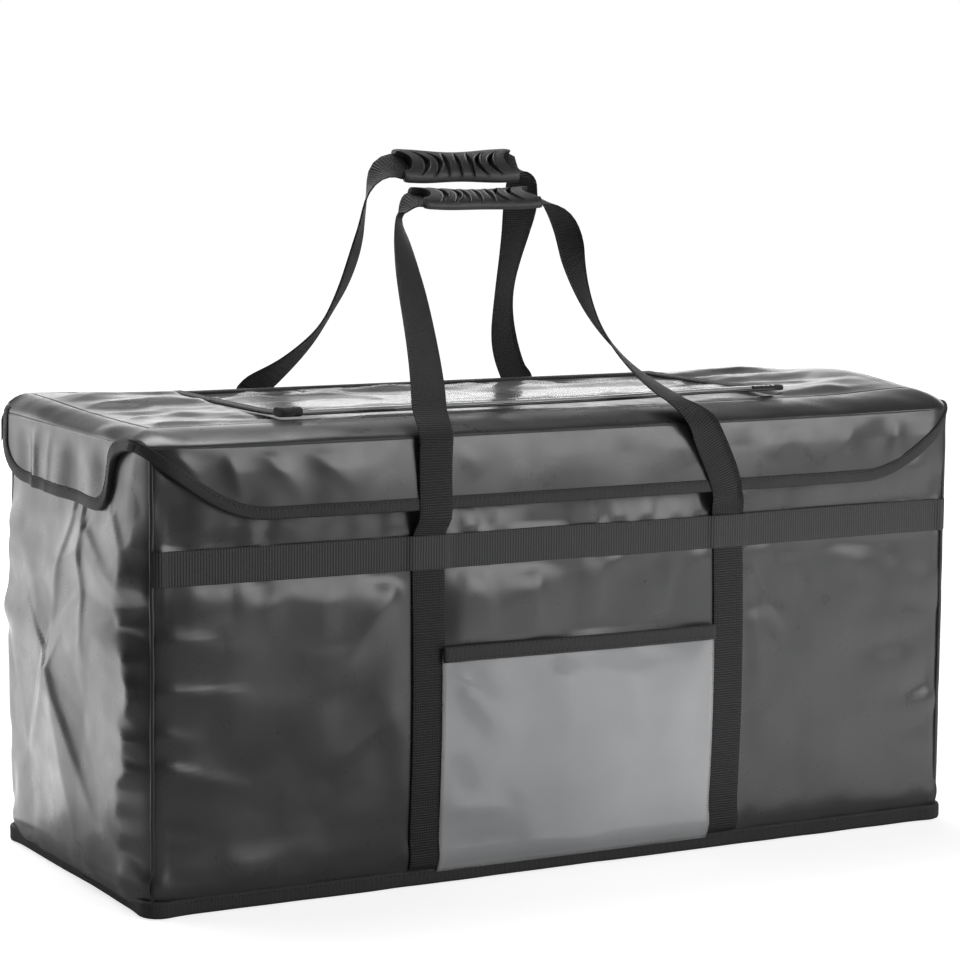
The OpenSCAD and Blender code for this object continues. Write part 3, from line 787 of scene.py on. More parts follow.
BASE_THICK = 0.0048
BASE_OUT = BASE_TAPE_OUT - BASE_THICK / 2
base_tape, *base_line = loop_tape(
    "base_tape", BX + BASE_OUT, BY + BASE_OUT, radius=0.015, middle=BASE_TAPE_TOP / 2 + 0.0004,
    tall=BASE_TAPE_TOP - 0.0008, thick=BASE_THICK, sway=0.0011, ears=0.0042, seed=51)
place(base_tape, "bag", "binding_tape", "base_binding")
place(stitches("base_stitches", *base_line, (0.0035, BASE_THICK / 2)), "bag", "binding_tape")
RIM_THICK = BY - LINING_Y + 0.002
RIM_OUT = 0.0008 - RIM_THICK / 2
RIM_TALL = 0.0084
rim_tape, *rim_line = loop_tape(
    "rim_tape", BX + RIM_OUT, BY + RIM_OUT, radius=0.006, middle=RIM - RIM_TALL / 2,
    tall=RIM_TALL, thick=RIM_THICK, sway=0.0002, ears=0.0, seed=53)
place(rim_tape, "bag", "binding_tape", "rim_binding")
place(stitches("rim_stitches", *rim_line, (-0.001, -RIM_THICK / 2)), "bag", "binding_tape")

PIPING_R = 0.0019
PIPING_X = high("corner_piping")[0] - 0.003
PIPING_Y = high("corner_piping")[1] - 0.003
for side in (-1, 1):
    for face in (-1, 1):
        z = np.arange(0.010, RIM - 0.006, STEP)
        x = side * PIPING_X + 0.0004 * ripple(z, 0.02, 60 + side)
        y = face * PIPING_Y + 0.0004 * ripple(z, 0.02, 65 + face)
        name = "bead_" + ("left" if side < 0 else "right") + ("_front" if face < 0 else "_rear")
        bead = sweep(name, np.stack([x, y, z], axis=1), same_way(RIGHT, z), same_way(REAR, z),
                     round_profile(PIPING_R), PIPING)
        place(bead, "bag", "piping")
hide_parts("corner_piping")


# Band, sewn straps and front pocket

# How far the straps, the band and the pocket's film lie outside the wall's skin
STRAP_OUT = 0.0012
BAND_OUT = 0.0015
FILM_OUT = 0.0032
# Where the straps run, left and right
STRAP_AT = {"front": (-STRAP_X + 0.004, STRAP_X), "back": (-STRAP_X, STRAP_X)}


def sewn_strap(node, x, face):
    z = np.arange(low(node)[2], high(node)[2] + 0.001, STEP)
    y = face * (BY + long_wall_out(x, z) + STRAP_OUT + 0.0003 * ripple(z, 0.03, 70))
    path = np.stack([np.full(len(z), x), y, z], axis=1)
    obj = sweep(node + "_web", path, same_way(RIGHT, path), same_way(face * REAR, path),
                flat_profile(WEB_W, WEB_T), WEBBING)
    place(obj, "bag", "webbing", node)


def sewn_band(wall_name, face):
    node = wall_name + "_band"
    x = np.arange(-BX + 0.001, BX - 0.0005, 0.002)
    middle = (BAND_LOW + BAND_TOP) / 2
    over = sum(1 / (1 + np.exp((np.abs(x - at) - WEB_W / 2 - 0.003) / 0.0012)) for at in STRAP_AT[wall_name])
    y = face * (BY + long_wall_out(x, middle) + BAND_OUT + 2 * STRAP_OUT * over + rolled(BX - np.abs(x)))
    z = middle + 0.0006 * ripple(x, 0.08, 75)
    path = np.stack([x, y, z], axis=1)
    obj = sweep(node + "_web", path, same_way(UP, path), same_way(face * REAR, path),
                flat_profile(BAND_TOP - BAND_LOW, WEB_T), BAND_WEB)
    place(obj, "bag", "webbing", node)


for face, wall_name in ((-1, "front"), (1, "back")):
    for side, at in zip(("left", "right"), STRAP_AT[wall_name]):
        sewn_strap(f"{wall_name}_{side}_strap", at, face)
    sewn_band(wall_name, face)

POCKET_X = high("front_pocket_film")[0]
POCKET_LOW = BASE_TAPE_TOP - 0.004
POCKET_SIZE = (2 * POCKET_X, POCKET_TOP - 0.003 - POCKET_LOW)
POCKET_TAPE_T = 0.0022


def pocket_out(x, z):
    return long_wall_out(x, z) + FILM_OUT


# Folds seen in the front pocket's film: from, to, height, and how broad they are to the left and right, in mm
FILM_FOLDS = [
    ((-130, 190), (-45, 95), 3.4, 14, 26), ((-128, 64), (-60, 58), 2.2, 10, 8),
    ((-20, 192), (-8, 100), 2.4, 12, 30), ((40, 190), (62, 90), 2.6, 10, 34),
    ((128, 180), (70, 90), 2.2, 16, 30)]


def film_folds(u, v):
    edge = np.minimum(np.minimum(u, 2 * POCKET_X - u), v)
    waves = 0.0014 * noise(u + 0.5 * v, 0.6 * v, 0.055, 84) + 0.0005 * noise(u, v, 0.03, 85)
    waves = waves + fold_relief(u - POCKET_X, v + POCKET_LOW, FILM_FOLDS)
    top = POCKET_TOP - POCKET_TAPE_W - POCKET_LOW
    return waves * clamp(edge / 0.02) * clamp((top - v) / 0.02)


film_points = slack_sheet((-POCKET_X, -BY, POCKET_LOW), (1, 0, 0), (0, 0, 1), POCKET_SIZE,
                          lambda u, v: pocket_out(u - POCKET_X, v + POCKET_LOW), film_folds, nowhere,
                          (0.0, 0.0), 81, reach=(-0.0008, 0.005))
film = place(sheet("front_pocket_sheet", film_points, FILM_T, FILM), "bag", "clear_film", "front_pocket_film")
x = np.linspace(-POCKET_X, POCKET_X, 60)
y = -BY - pocket_out(x, POCKET_TOP) - 0.0018
path = np.stack([x, y, POCKET_TOP - POCKET_TAPE_W / 2 + 0.0006 * ripple(x, 0.07, 83)], axis=1)
# The tape leans back a little
upward = same_way((0, 0.12, 0.993), path)
forward = same_way((0, -0.993, 0.12), path)
pocket_tape = sweep("front_pocket_tape", path, upward, forward,
                    flat_profile(POCKET_TAPE_W, POCKET_TAPE_T), TAPE)
place(pocket_tape, "bag", "binding_tape", "front_pocket_binding")
for side, edge in (("low", -1), ("top", 1)):
    row = stitches("front_pocket_stitches_" + side, path, upward, forward,
                   (edge * (POCKET_TAPE_W / 2 - 0.0022), POCKET_TAPE_T / 2))
    place(row, "bag", "binding_tape")


# Lid: one skin that rolls over the front and side edges into the flaps

# How far the roll reaches in from the front and side edges, how far it drops, and its outline's power
ROLL_FRONT = 0.046
ROLL_SIDE = 0.022
ROLL_DROP = 0.012
ROLL_POWER = 1.12
CORNER = 0.030
# The top of the arch between two flaps, and how the rear ends of the side flaps are rounded
NOTCH = LID_TOP - 0.0155
REAR_TURN = 0.052
REAR_LIFT = 0.034
REAR_RISE = 0.004
# Places along the lid's edge, from the middle of its front round to its rear
P_STRAIGHT = LID_X - CORNER
P_SIDE = P_STRAIGHT + CORNER * math.pi / 2
P_APEX = P_SIDE - 0.002
P_REAR = P_SIDE + BY - 0.004 + LID_Y - CORNER
FRONT_FOOT = P_APEX - 0.118
SIDE_FOOT = P_APEX + 0.076
TOP_X = LID_X - ROLL_SIDE
TOP_FRONT = -LID_Y + ROLL_FRONT
FLAP_TAPE_W = 0.0105
FLAP_TAPE_OUT = 0.0009
# How far the foam of a flap lies inside its skin's outer face, and how thick it is
FLAP_PAD_IN = 0.0011
FLAP_PAD_T = 0.0026


def outline(p):
    """The lid's edge from above, p along it from the middle of the front, and where its roll starts."""
    q, side = np.abs(p), np.sign(p)
    turn = np.clip((q - P_STRAIGHT) / CORNER, 0, math.pi / 2)
    x = np.minimum(q, P_STRAIGHT) + CORNER * np.sin(turn)
    y = -LID_Y + CORNER * (1 - np.cos(turn)) + np.maximum(q - P_SIDE, 0)
    inner = np.stack([side * np.minimum(x, TOP_X), np.maximum(y, TOP_FRONT)], axis=-1)
    return np.stack([side * x, y], axis=-1), inner


def puff(x, y):
    """How far the lid's top stands up near its right end and its left rear corner."""
    right = 0.0115 * hump(x - 0.365, 0.06) * hump(y + 0.01, 0.1)
    return right + 0.005 * hump(x + 0.38, 0.12) * hump(y - 0.16, 0.12)


def skirt_edge():
    """The flaps' lower edge as heights along p: the front, the arch at the corner, the side, its rear end."""
    apex, knee = (P_APEX, NOTCH), (P_APEX + 0.045, NOTCH - 0.024)
    front_foot, side_foot = (FRONT_FOOT, FLAP_LOW), (SIDE_FOOT, FLAP_LOW)
    front = bezier([apex, (P_APEX - 0.030, NOTCH), (FRONT_FOOT + 0.055, FLAP_LOW), front_foot], 40)[::-1]
    upper = bezier([apex, (P_APEX + 0.030, NOTCH), (P_APEX + 0.042, NOTCH - 0.010), knee], 24)
    lower = bezier([knee, (P_APEX + 0.048, NOTCH - 0.039), (P_APEX + 0.054, FLAP_LOW), side_foot], 24)
    turn = np.linspace(0, math.pi / 2, 13)
    rear_p = P_REAR - REAR_TURN * (1 - np.sin(turn))
    rear_z = FLAP_LOW + REAR_RISE + REAR_LIFT * (1 - np.cos(turn))
    return np.concatenate([[(0, FLAP_LOW)], front, upper[1:], lower[1:], np.stack([rear_p, rear_z], axis=1)])


EDGE = skirt_edge()
# The roll's angle at even steps down its skin
ROLL_TURN = np.linspace(0, math.pi / 2, 60)
ROLL_LINE = np.stack([0.04 * np.sin(ROLL_TURN) ** ROLL_POWER,
                      ROLL_DROP * np.cos(ROLL_TURN) ** ROLL_POWER], axis=1)
ROLL_PART = lengths(ROLL_LINE) / lengths(ROLL_LINE)[-1]


def roll_run(p):
    """The length of the skin over the roll."""
    outer, inner = outline(p)
    deep = np.linalg.norm(outer - inner, axis=-1)
    return 0.8 * (deep + ROLL_DROP) + 0.2 * np.abs(deep - ROLL_DROP)


def run(p):
    """The distance down the skin from the start of the roll to the flap's lower edge."""
    return roll_run(p) + LID_TOP - ROLL_DROP - np.interp(np.abs(p), EDGE[:, 0], EDGE[:, 1])


# Folds seen on the front flap, along it and down from its fold: from, to, height, and how broad they are
# to the left and right, in mm
FLAP_FOLDS = [
    ((-362, 2), (-338, 30), 3.0, 5, 12), ((-320, 2), (-306, 44), 3.2, 7, 14),
    ((-290, 2), (-252, 48), 3.2, 7, 18), ((-250, 2), (-206, 42), 2.4, 8, 22),
    ((-120, 0), (-98, 34), 1.4, 12, 18), ((90, 0), (104, 34), 1.2, 12, 18),
    ((205, 0), (188, 36), 2.2, 12, 14), ((272, 2), (260, 34), 2.8, 8, 12),
    ((318, 2), (312, 44), 3.8, 9, 11)]


def skirt(p, s, off=0.0):
    """A point of the lid's skirt, s down its skin from the start of the roll and off outside it."""
    p, s = np.asarray(p, float), np.asarray(s, float)
    outer, inner = outline(p)
    deep = np.linalg.norm(outer - inner, axis=-1)
    turn = np.interp(s / roll_run(p), ROLL_PART, ROLL_TURN)
    past = np.maximum(s - roll_run(p), 0)
    hang = np.clip(past / 0.05, 0, 1.3)
    front = clamp(1 - (p / LID_X) ** 4)
    beside = clamp((np.abs(p) - P_SIDE) / 0.05) * clamp((P_REAR - np.abs(p)) / 0.05)
    near_corner = np.exp(-np.abs(np.abs(p) - P_APEX) / 0.11)
    slant = p + 0.3 * past * ripple(p, 0.06, 94)
    pleats = (0.0009 + 0.0022 * near_corner) * noise(slant, 0.3 * past, 0.028, 93)
    pleats = pleats + fold_relief(p, past, FLAP_FOLDS)
    pleats = pleats + 0.003 * beside * (0.5 - np.abs(noise(slant, 0.25 * past, 0.034, 95)))
    wave = 0.0009 * noise(p, past, 0.05, 90) + pleats * clamp(past / 0.008)
    # The front flap starts to lean out above its fold and does so gently
    early = np.maximum(s - roll_run(p) + 0.014, 0)
    lower = early - 0.006 * (1 - np.exp(-early / 0.006))
    flare = 0.0105 * front * (1 - np.exp(-lower / 0.03)) + 0.0004 * beside * hang ** 1.2
    flare = flare + wave * clamp(past / 0.02)
    off = off + 0.001 * noise(p, 0.4 * s, 0.03, 97) * np.sin(2 * turn) ** 2
    slope = np.stack([ROLL_DROP * np.sin(turn), np.maximum(deep, 1e-4) * np.cos(turn)], axis=-1)
    slope = slope / np.linalg.norm(slope, axis=-1, keepdims=True)
    reach = deep * np.sin(turn) ** ROLL_POWER + off * slope[..., 0] + flare
    z = LID_TOP - ROLL_DROP * (1 - np.cos(turn) ** ROLL_POWER) + off * slope[..., 1] - past
    toward = (outer - inner) / deep[..., None]
    at = inner + toward * reach[..., None]
    z = z + puff(at[..., 0], at[..., 1]) * np.cos(turn) ** 0.7
    return np.concatenate([at, z[..., None]], axis=-1)


def skirt_grid(start, end, top, bottom, rows, off, downward=False):
    """A grid of the skirt between two places along it, from top(p) to bottom(p) down its skin."""
    p = np.linspace(start, end, int(abs(end - start) / FINE_STEP) + 2)
    t = np.linspace(0, 1, rows) if downward else np.linspace(1, 0, rows)
    p, t = np.meshgrid(p, t)
    return skirt(p, top(p) + t * (bottom(p) - top(p)), off)


def tape_profile(width, inside, outside):
    """A folded edge tape as (inward, out) offsets, round at the folded edge."""
    r = (outside - inside) / 2
    turn = np.linspace(math.pi / 2, 3 * math.pi / 2, 9)
    nose = np.stack([0.5 * r * np.cos(turn) + 0.5 * r, (outside + inside) / 2 + r * np.sin(turn)], axis=1)
    return np.concatenate([[(width, outside - 0.0004), (width - 0.0008, outside)], nose,
                           [(width - 0.0008, inside), (width, inside + 0.0004)]])


def whole_edge():
    """The lower edge of all three flaps on the skin as (p, s), up to the rear ends of the side flaps."""
    p = np.linspace(-P_REAR, P_REAR, 2400)
    edge = np.stack([p, run(p)], axis=1)
    rear = np.linspace(run(P_REAR), roll_run(P_REAR) * 0.85, 20)[1:]
    left = np.stack([0 * rear - P_REAR, rear], axis=1)[::-1]
    right = np.stack([0 * rear + P_REAR, rear], axis=1)
    return resample(np.concatenate([left, edge, right]), FINE_STEP)


def on_skin(chart):
    """Path, inward direction and outward direction of a line on the skirt."""
    along = unit(np.gradient(chart, axis=0))
    aside = 0.0005 * np.stack([along[:, 1], -along[:, 0]], axis=1)
    path = skirt(*chart.T)
    across = unit(skirt(*(chart + aside).T) - skirt(*(chart - aside).T))
    out = unit(np.cross(np.gradient(path, axis=0), across))
    return path, across, out


flap_spans = {"front": (-P_APEX, P_APEX), "left": (-P_REAR, -P_APEX), "right": (P_APEX, P_REAR)}
tape_chart = whole_edge()
tape_path, tape_inward, tape_out = on_skin(tape_chart)
tape_split = [int(np.argmin(np.abs(tape_chart[:, 0] - at))) for at in (-P_APEX, P_APEX)]
# The tapes of neighbouring flaps lap a little over each other
tape_runs = {"left": slice(0, tape_split[0] + 3), "front": slice(tape_split[0] - 2, tape_split[1] + 3),
             "right": slice(tape_split[1] - 2, None)}


def fold(obj):
    """Bakes the piece's placement into its mesh."""
    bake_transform(obj)


def flap_foot(p):
    return run(p) - 0.002


for flap, (start, end) in flap_spans.items():
    node = flap + "_flap"
    outer = skirt_grid(start, end, lambda p: roll_run(p) - 0.001, flap_foot, 30, 0.0)
    skin = sheet(node + "_skin", outer, SKIN_T, FABRIC)
    dress(skin, "coated_fabric", node + "_panel")
    middle = skirt_grid(start, end, roll_run, flap_foot, 16, -FLAP_PAD_IN)
    pad = sheet(node + "_pad", middle, FLAP_PAD_T, FOAM)
    dress(pad, "foam", node + "_foam")
    inner = skirt_grid(start, end, roll_run, flap_foot, 22, -FLAP_T, downward=True)
    lining = sheet(node + "_foil", inner, FOIL_T, FOIL)
    dress(lining, "foil", node + "_lining")
    line = [field[tape_runs[flap]] for field in (tape_path, tape_inward, tape_out)]
    tape = sweep(node + "_tape", *line, tape_profile(FLAP_TAPE_W, -FLAP_T - 0.0006, FLAP_TAPE_OUT), TAPE)
    dress(tape, "binding_tape", node + "_binding")
    row = stitches(node + "_stitches", *line, (FLAP_TAPE_W - 0.0025, FLAP_TAPE_OUT))
    dress(row, "binding_tape")
    for obj in (skin, pad, lining, tape, row):
        fold(obj)
    along = np.linspace(start, end, 400)
    hangs = flap_foot(along) - roll_run(along)

roll_points = skirt_grid(-P_REAR, P_REAR, lambda p: 0 * p, roll_run, 26, 0.0)
roll_skin = place(sheet("lid_roll_skin", roll_points, SKIN_T, FABRIC), "lid", "coated_fabric")
along = roll_run(np.linspace(-P_REAR, P_REAR, 400))

POCKET = (low("top_pocket_binding") - np.array([0.007, 0, 0]), high("top_pocket_binding"))
REAR_ROLL = 0.008
HINGE_OUT = 0.0026
LID_SIZE = (2 * TOP_X, BY - REAR_ROLL - TOP_FRONT)
LID_CREASES = scatter(LID_SIZE, 40, 0.004, 107)
# Folds along the lid's top: from, to, height, and how broad they are to either side, in mm
LID_FOLDS = [
    ((-358, 96), (-110, 132), 4.5, 9, 22), ((-352, 40), (-250, 70), 3.5, 8, 22),
    ((-340, -40), (-245, -12), 3.0, 9, 26), ((-350, -96), (-262, -84), 3.0, 8, 16),
    ((250, 120), (352, 70), 4.5, 10, 24), ((246, 60), (356, 20), 4.0, 9, 26),
    ((240, -20), (356, -50), 4.0, 10, 24), ((150, -104), (330, -88), 4.0, 7, 14),
    ((-220, 132), (60, 130), 4.0, 6, 10), ((60, 132), (250, 128), 3.5, 6, 10)]


def lid_base(u, v):
    x, y = u - TOP_X, v + TOP_FRONT
    edge = np.minimum(np.minimum(u, 2 * TOP_X - u), v)
    settle = 0.0012 * noise(x, y, 0.09, 101) - 0.001 * hump(y - 0.02, 0.08)
    return settle * (1 - hump(edge, 0.03)) + puff(x, y)


def in_pocket(u, v):
    x, y = u - TOP_X, v + TOP_FRONT
    return (x > POCKET[0][0]) & (x < POCKET[1][0]) & (y > POCKET[0][1]) & (y < POCKET[1][1])


def lid_folds(u, v):
    """Creases of the lid's top, longer along it than across."""
    height = facets(u, v, LID_SIZE, LID_CREASES, 6) + 0.002 * noise(u * 0.25, v, 0.022, 108)
    height = height + fold_relief(u - TOP_X, v + TOP_FRONT, LID_FOLDS)
    return height * (1 - hump(from_edge(u, v, LID_SIZE), 0.018))


LID_SLACK = (0.002, 0.004)
lid_points = slack_sheet((-TOP_X, TOP_FRONT, LID_TOP), (1, 0, 0), (0, 1, 0), LID_SIZE, lid_base, lid_folds,
                         in_pocket, LID_SLACK, 103, reach=(-0.0012, 0.006), level=0.025)
lid_skin = place(sheet("lid_skin", lid_points, SKIN_T, FABRIC), "lid", "coated_fabric", "lid_panel")

# The lid's rear edge: its skin turns down over the hinge seam and on to the back
x = np.linspace(LID_X, -LID_X, 160)
level = np.maximum(np.cos(np.arcsin(clamp((np.abs(x) - TOP_X) / ROLL_SIDE) ** (1 / ROLL_POWER))), 0)
lid_height = LID_TOP - ROLL_DROP * (1 - level ** ROLL_POWER) + puff(x, BY) * level ** 0.7
turn = np.linspace(0, math.pi / 2, 8)
down = np.linspace(0.024, REAR_ROLL + 0.002, 6)
rear_y = BY + HINGE_OUT + np.concatenate([0 * down, REAR_ROLL * (np.cos(turn) - 1)])
drop = np.concatenate([down, REAR_ROLL * (1 - np.sin(turn))])
cover_points = np.stack([*np.meshgrid(x, rear_y), lid_height[None, :] - drop[:, None]], axis=2)
cover_points[..., 1] += 0.0005 * noise(cover_points[..., 0], cover_points[..., 2], 0.03, 105)
cover = sheet("hinge_skin", cover_points, 0.0008, FABRIC)
dress(cover, "coated_fabric")
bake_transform(cover)


# Top pocket

TOP_TAPE_W = 0.012
TOP_TAPE_T = 0.003


def pocket_lift(x, y):
    """The pocket lies on the lid and curls up a little at its open front edge."""
    front = np.exp(-(np.asarray(y) - POCKET[0][1]) / 0.03)
    right = 1 / (1 + np.exp(-(np.asarray(x) - 0.12) / 0.03))
    return LID_TOP + 0.0016 + front * (0.0018 + 0.003 * right)


# The film lies a little inside the outer edge of its tapes
FILM_IN = 0.003
FILM_SLACK = (0.003, 0.003)
pocket_x, pocket_y = (POCKET[1] - POCKET[0])[:2]
film_size = (pocket_x - 2 * FILM_IN, pocket_y - FILM_IN)


def top_film_base(u, v):
    return pocket_lift(u + POCKET[0][0], v + POCKET[0][1])


def top_film_folds(u, v):
    edge = np.minimum(np.minimum(u, pocket_x - u), pocket_y - v)
    slow = 0.0035 * noise(u * 0.3, v, 0.034, 112)
    rear = 0.003 * noise(u, v * 0.5, 0.045, 113) * np.exp(-(pocket_y - v) / 0.05)
    return (slow + rear) * clamp(edge / 0.02)


def under_tape(u, v):
    return (u < TOP_TAPE_W) | (u > pocket_x - TOP_TAPE_W) | (v > pocket_y - TOP_TAPE_W)


film_points = slack_sheet((POCKET[0][0] + FILM_IN, POCKET[0][1], 0), (1, 0, 0), (0, 1, 0), film_size,
                          top_film_base, top_film_folds, under_tape, FILM_SLACK, 111,
                          reach=(-0.0004, 0.005))
top_film = sheet("top_pocket_sheet", film_points, FILM_T, TOP_FILM)
place(top_film, "lid", "clear_film", "top_pocket_film")


def on_pocket(a, b, lift):
    """A line on the pocket with its across and up directions."""
    line = resample(np.array([a, b]), 0.005)
    path = np.concatenate([line, (pocket_lift(line[:, 0], line[:, 1]) + lift)[:, None]], axis=1)
    along = unit(np.gradient(path, axis=0))
    across = unit(np.cross(UP, along))
    return path, across, np.cross(along, across)


def top_tape(name, a, b, lift, width=TOP_TAPE_W, thick=TOP_TAPE_T):
    path, across, up = on_pocket(a, b, lift)
    row = stitches(name + "_stitches", path, across, up, (-width / 2 + 0.003, thick / 2))
    place(row, "lid", "binding_tape")
    return place(sweep(name, path, across, up, flat_profile(width, thick), TAPE), "lid", "binding_tape")


inset = TOP_TAPE_W / 2
left, right, front, rear = POCKET[0][0] + inset, POCKET[1][0] - inset, POCKET[0][1], POCKET[1][1] - inset
rear_tape = top_tape("top_pocket_tape_rear", (POCKET[0][0], rear), (POCKET[1][0], rear), 0.0008)
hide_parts("top_pocket_binding")
top_tape("top_pocket_tape_left", (left, front - 0.009), (left, rear + inset), 0.0014)
top_tape("top_pocket_tape_right", (right, front - 0.002), (right, rear + inset), 0.0014)
# The film's open front edge is turned over, and its two ends are held in tape
path, across, up = on_pocket((left, front + 0.002), (right, front + 0.002), 0.0016)
place(sweep("top_pocket_hem", path, across, up, flat_profile(0.009, 0.0046, 6), TOP_HEM), "lid", "clear_film")
for side, edge, lift in (("front", -0.0046, -0.0008), ("rear", 0.0046, 0.0012)):
    line = path + edge * across + lift * up
    cord = sweep("top_pocket_hem_" + side, line, across, up, round_profile(0.0012, 8), PIPING)
    place(cord, "lid", "binding_tape")
top_tape("top_pocket_end_left", (left - inset, front - 0.001), (left + 0.013, front - 0.001),
         lift=0.0028, width=0.016, thick=0.0075)
top_tape("top_pocket_end_right", (right - 0.026, front + 0.003), (right + inset, front + 0.003),
         lift=0.0018, width=0.013, thick=0.0044)


# Linings and foam

# How far the lid's lining and the walls' linings keep from the edges
LID_IN = FLAP_T + 0.001
WALL_H = RIM - 0.004 - FLOOR
LID_REAR = BY - 0.002


def panel_grid(wide, tall, step, more):
    """Places on a panel about a step apart, with a few more in each row and column."""
    u, v = (np.linspace(0, length, int(length / step) + more) for length in (wide, tall))
    return np.meshgrid(u, v)


def within_lid(points):
    """Points of the lid's lining drawn in to the lid's rounded front corners."""
    far = np.stack([np.abs(points[..., 0]) - P_STRAIGHT, -points[..., 1] - LID_Y + CORNER], axis=-1)
    size = np.linalg.norm(far, axis=-1)
    most = CORNER - LID_IN
    pull = np.where((far.min(axis=-1) > 0) & (size > most), most / np.maximum(size, 1e-6), 1)
    moved = points.copy()
    moved[..., 0] = np.sign(points[..., 0]) * (P_STRAIGHT + far[..., 0] * pull)
    moved[..., 1] = -(LID_Y - CORNER + far[..., 1] * pull)
    return np.where((pull < 1)[..., None], moved, points)


def foil_sheet(name, body, origin, across, upward, size, seed):
    """A crinkled lining whose crinkles stand out on its open side."""
    origin, across, upward = (np.asarray(way, float) for way in (origin, across, upward))
    normal = np.cross(across, upward)
    u, v = panel_grid(*size, 0.006, 2)
    ridge = 1 - np.abs(noise(u, v, 0.05, seed)) * 2
    fine = 1 - np.abs(noise(u, v, 0.022, seed + 1)) * 2
    rise = (0.0016 + 0.0012 * ridge + 0.0007 * fine) * clamp(from_edge(u, v, size) / 0.012)
    points = origin + u[..., None] * across + v[..., None] * upward + rise[..., None] * normal
    if body == "lid":
        points = within_lid(points)
    lining = place(sheet(name + "_foil", points, FOIL_T, FOIL), body, "foil", name + "_lining")


def pad(node, margin=0.0):
    """A foam slab in its own space, with soft edges."""
    lowest, highest = low(node) + (margin, margin, 0), high(node) - (margin, 0, 0)
    size = highest - lowest
    thin = int(np.argmin(size))
    a, b = [(1, 2), (2, 0), (0, 1)][thin]
    u, v = panel_grid(size[a], size[b], 0.02, 8)
    half = size[thin] / 2 * (0.25 + 0.2 * np.sqrt(clamp(from_edge(u, v, size[[a, b]]) / 0.02)))
    points = np.zeros(u.shape + (3,))
    points[..., a] = lowest[a] + u
    points[..., b] = lowest[b] + v
    points[..., thin] = (lowest[thin] + highest[thin]) / 2 + half
    return sheet(node + "_pad", points, 2 * half[..., None], FOAM)


for name in ("front", "back", "left", "right", "base"):
    place(pad(name + "_foam"), "bag", "foam", name + "_foam")
place(pad("lid_foam", 0.03), "lid", "foam", "lid_foam")

outer_x, outer_y = LINING_X + FOIL_T, LINING_Y + FOIL_T
for name, corner, across, length, seed in (("front", (LINING_X, -outer_y), (-1, 0, 0), 2 * LINING_X, 121),
                                           ("back", (-LINING_X, outer_y), (1, 0, 0), 2 * LINING_X, 123),
                                           ("left", (-outer_x, -LINING_Y), (0, 1, 0), 2 * LINING_Y, 125),
                                           ("right", (outer_x, LINING_Y), (0, -1, 0), 2 * LINING_Y, 127)):
    foil_sheet(name, "bag", (*corner, FLOOR), across, (0, 0, 1), (length, WALL_H), seed)
foil_sheet("base", "bag", (-LINING_X, -LINING_Y, FLOOR), (1, 0, 0), (0, 1, 0),
           (2 * LINING_X, 2 * LINING_Y), 129)
foil_sheet("lid", "lid", (-LID_X + LID_IN, LID_REAR, LID_LOW + 0.0025), (1, 0, 0), (0, -1, 0),
           (2 * (LID_X - LID_IN), LID_REAR + LID_Y - LID_IN), 131)

BASE_SIZE = (2 * BX, 2 * BY)
BASE_SLACK = (0.002, 0.002)
under = slack_sheet((-BX, BY, 0.0012), (1, 0, 0), (0, -1, 0), BASE_SIZE, level_panel, level_panel,
                    nowhere, BASE_SLACK, 141, reach=(-0.002, 0.0006), spacing=0.008)
base_skin = place(sheet("base_skin", under, SKIN_T, FABRIC), "bag", "coated_fabric", "base_panel")


# Handles

GRIP_TILT = {"front": 20, "back": 45}
# How far each grip hangs to the right of the middle
GRIP_SHIFT = {"front": -0.008, "back": 0.002}
PASS_Y = LID_Y + 0.0102
# Each leg, left and right: its lean, sag and curl, and how upright it stands before it leans to the grip
LEGS = {"front": ((0.009, -0.2, 0.0125, 0.23), (0.0517, 0.52, 0.038, -0.3)),
        "back": ((0.0, 0.63, 0.0307, 0.6), (0.030, 0.3, 0.008, 1.0))}
# How the width of each leg turns, in degrees, at parts of its free length from the lid's edge to the grip
TURN_AT = (0, 0.1, 0.22, 0.35, 0.5, 0.65, 0.78, 0.9, 1)
TURNS = {"front": ((187, 178, 169, 163, 158, 150, 138, 123, 90), (34, 45, 55, 61, 71, 87, 110, 123, 90)),
         "back": ((-8, 14, 38, 58, 48, 45, 58, 60, 90), (-8, -9, -22, -33, -29, -14, 11, 49, 90))}
# How far inside the lid's edge each handle's straps pass over it, and how high
CROSSING = {"front": (0.010, 0.012), "back": (-0.002, 0.005)}


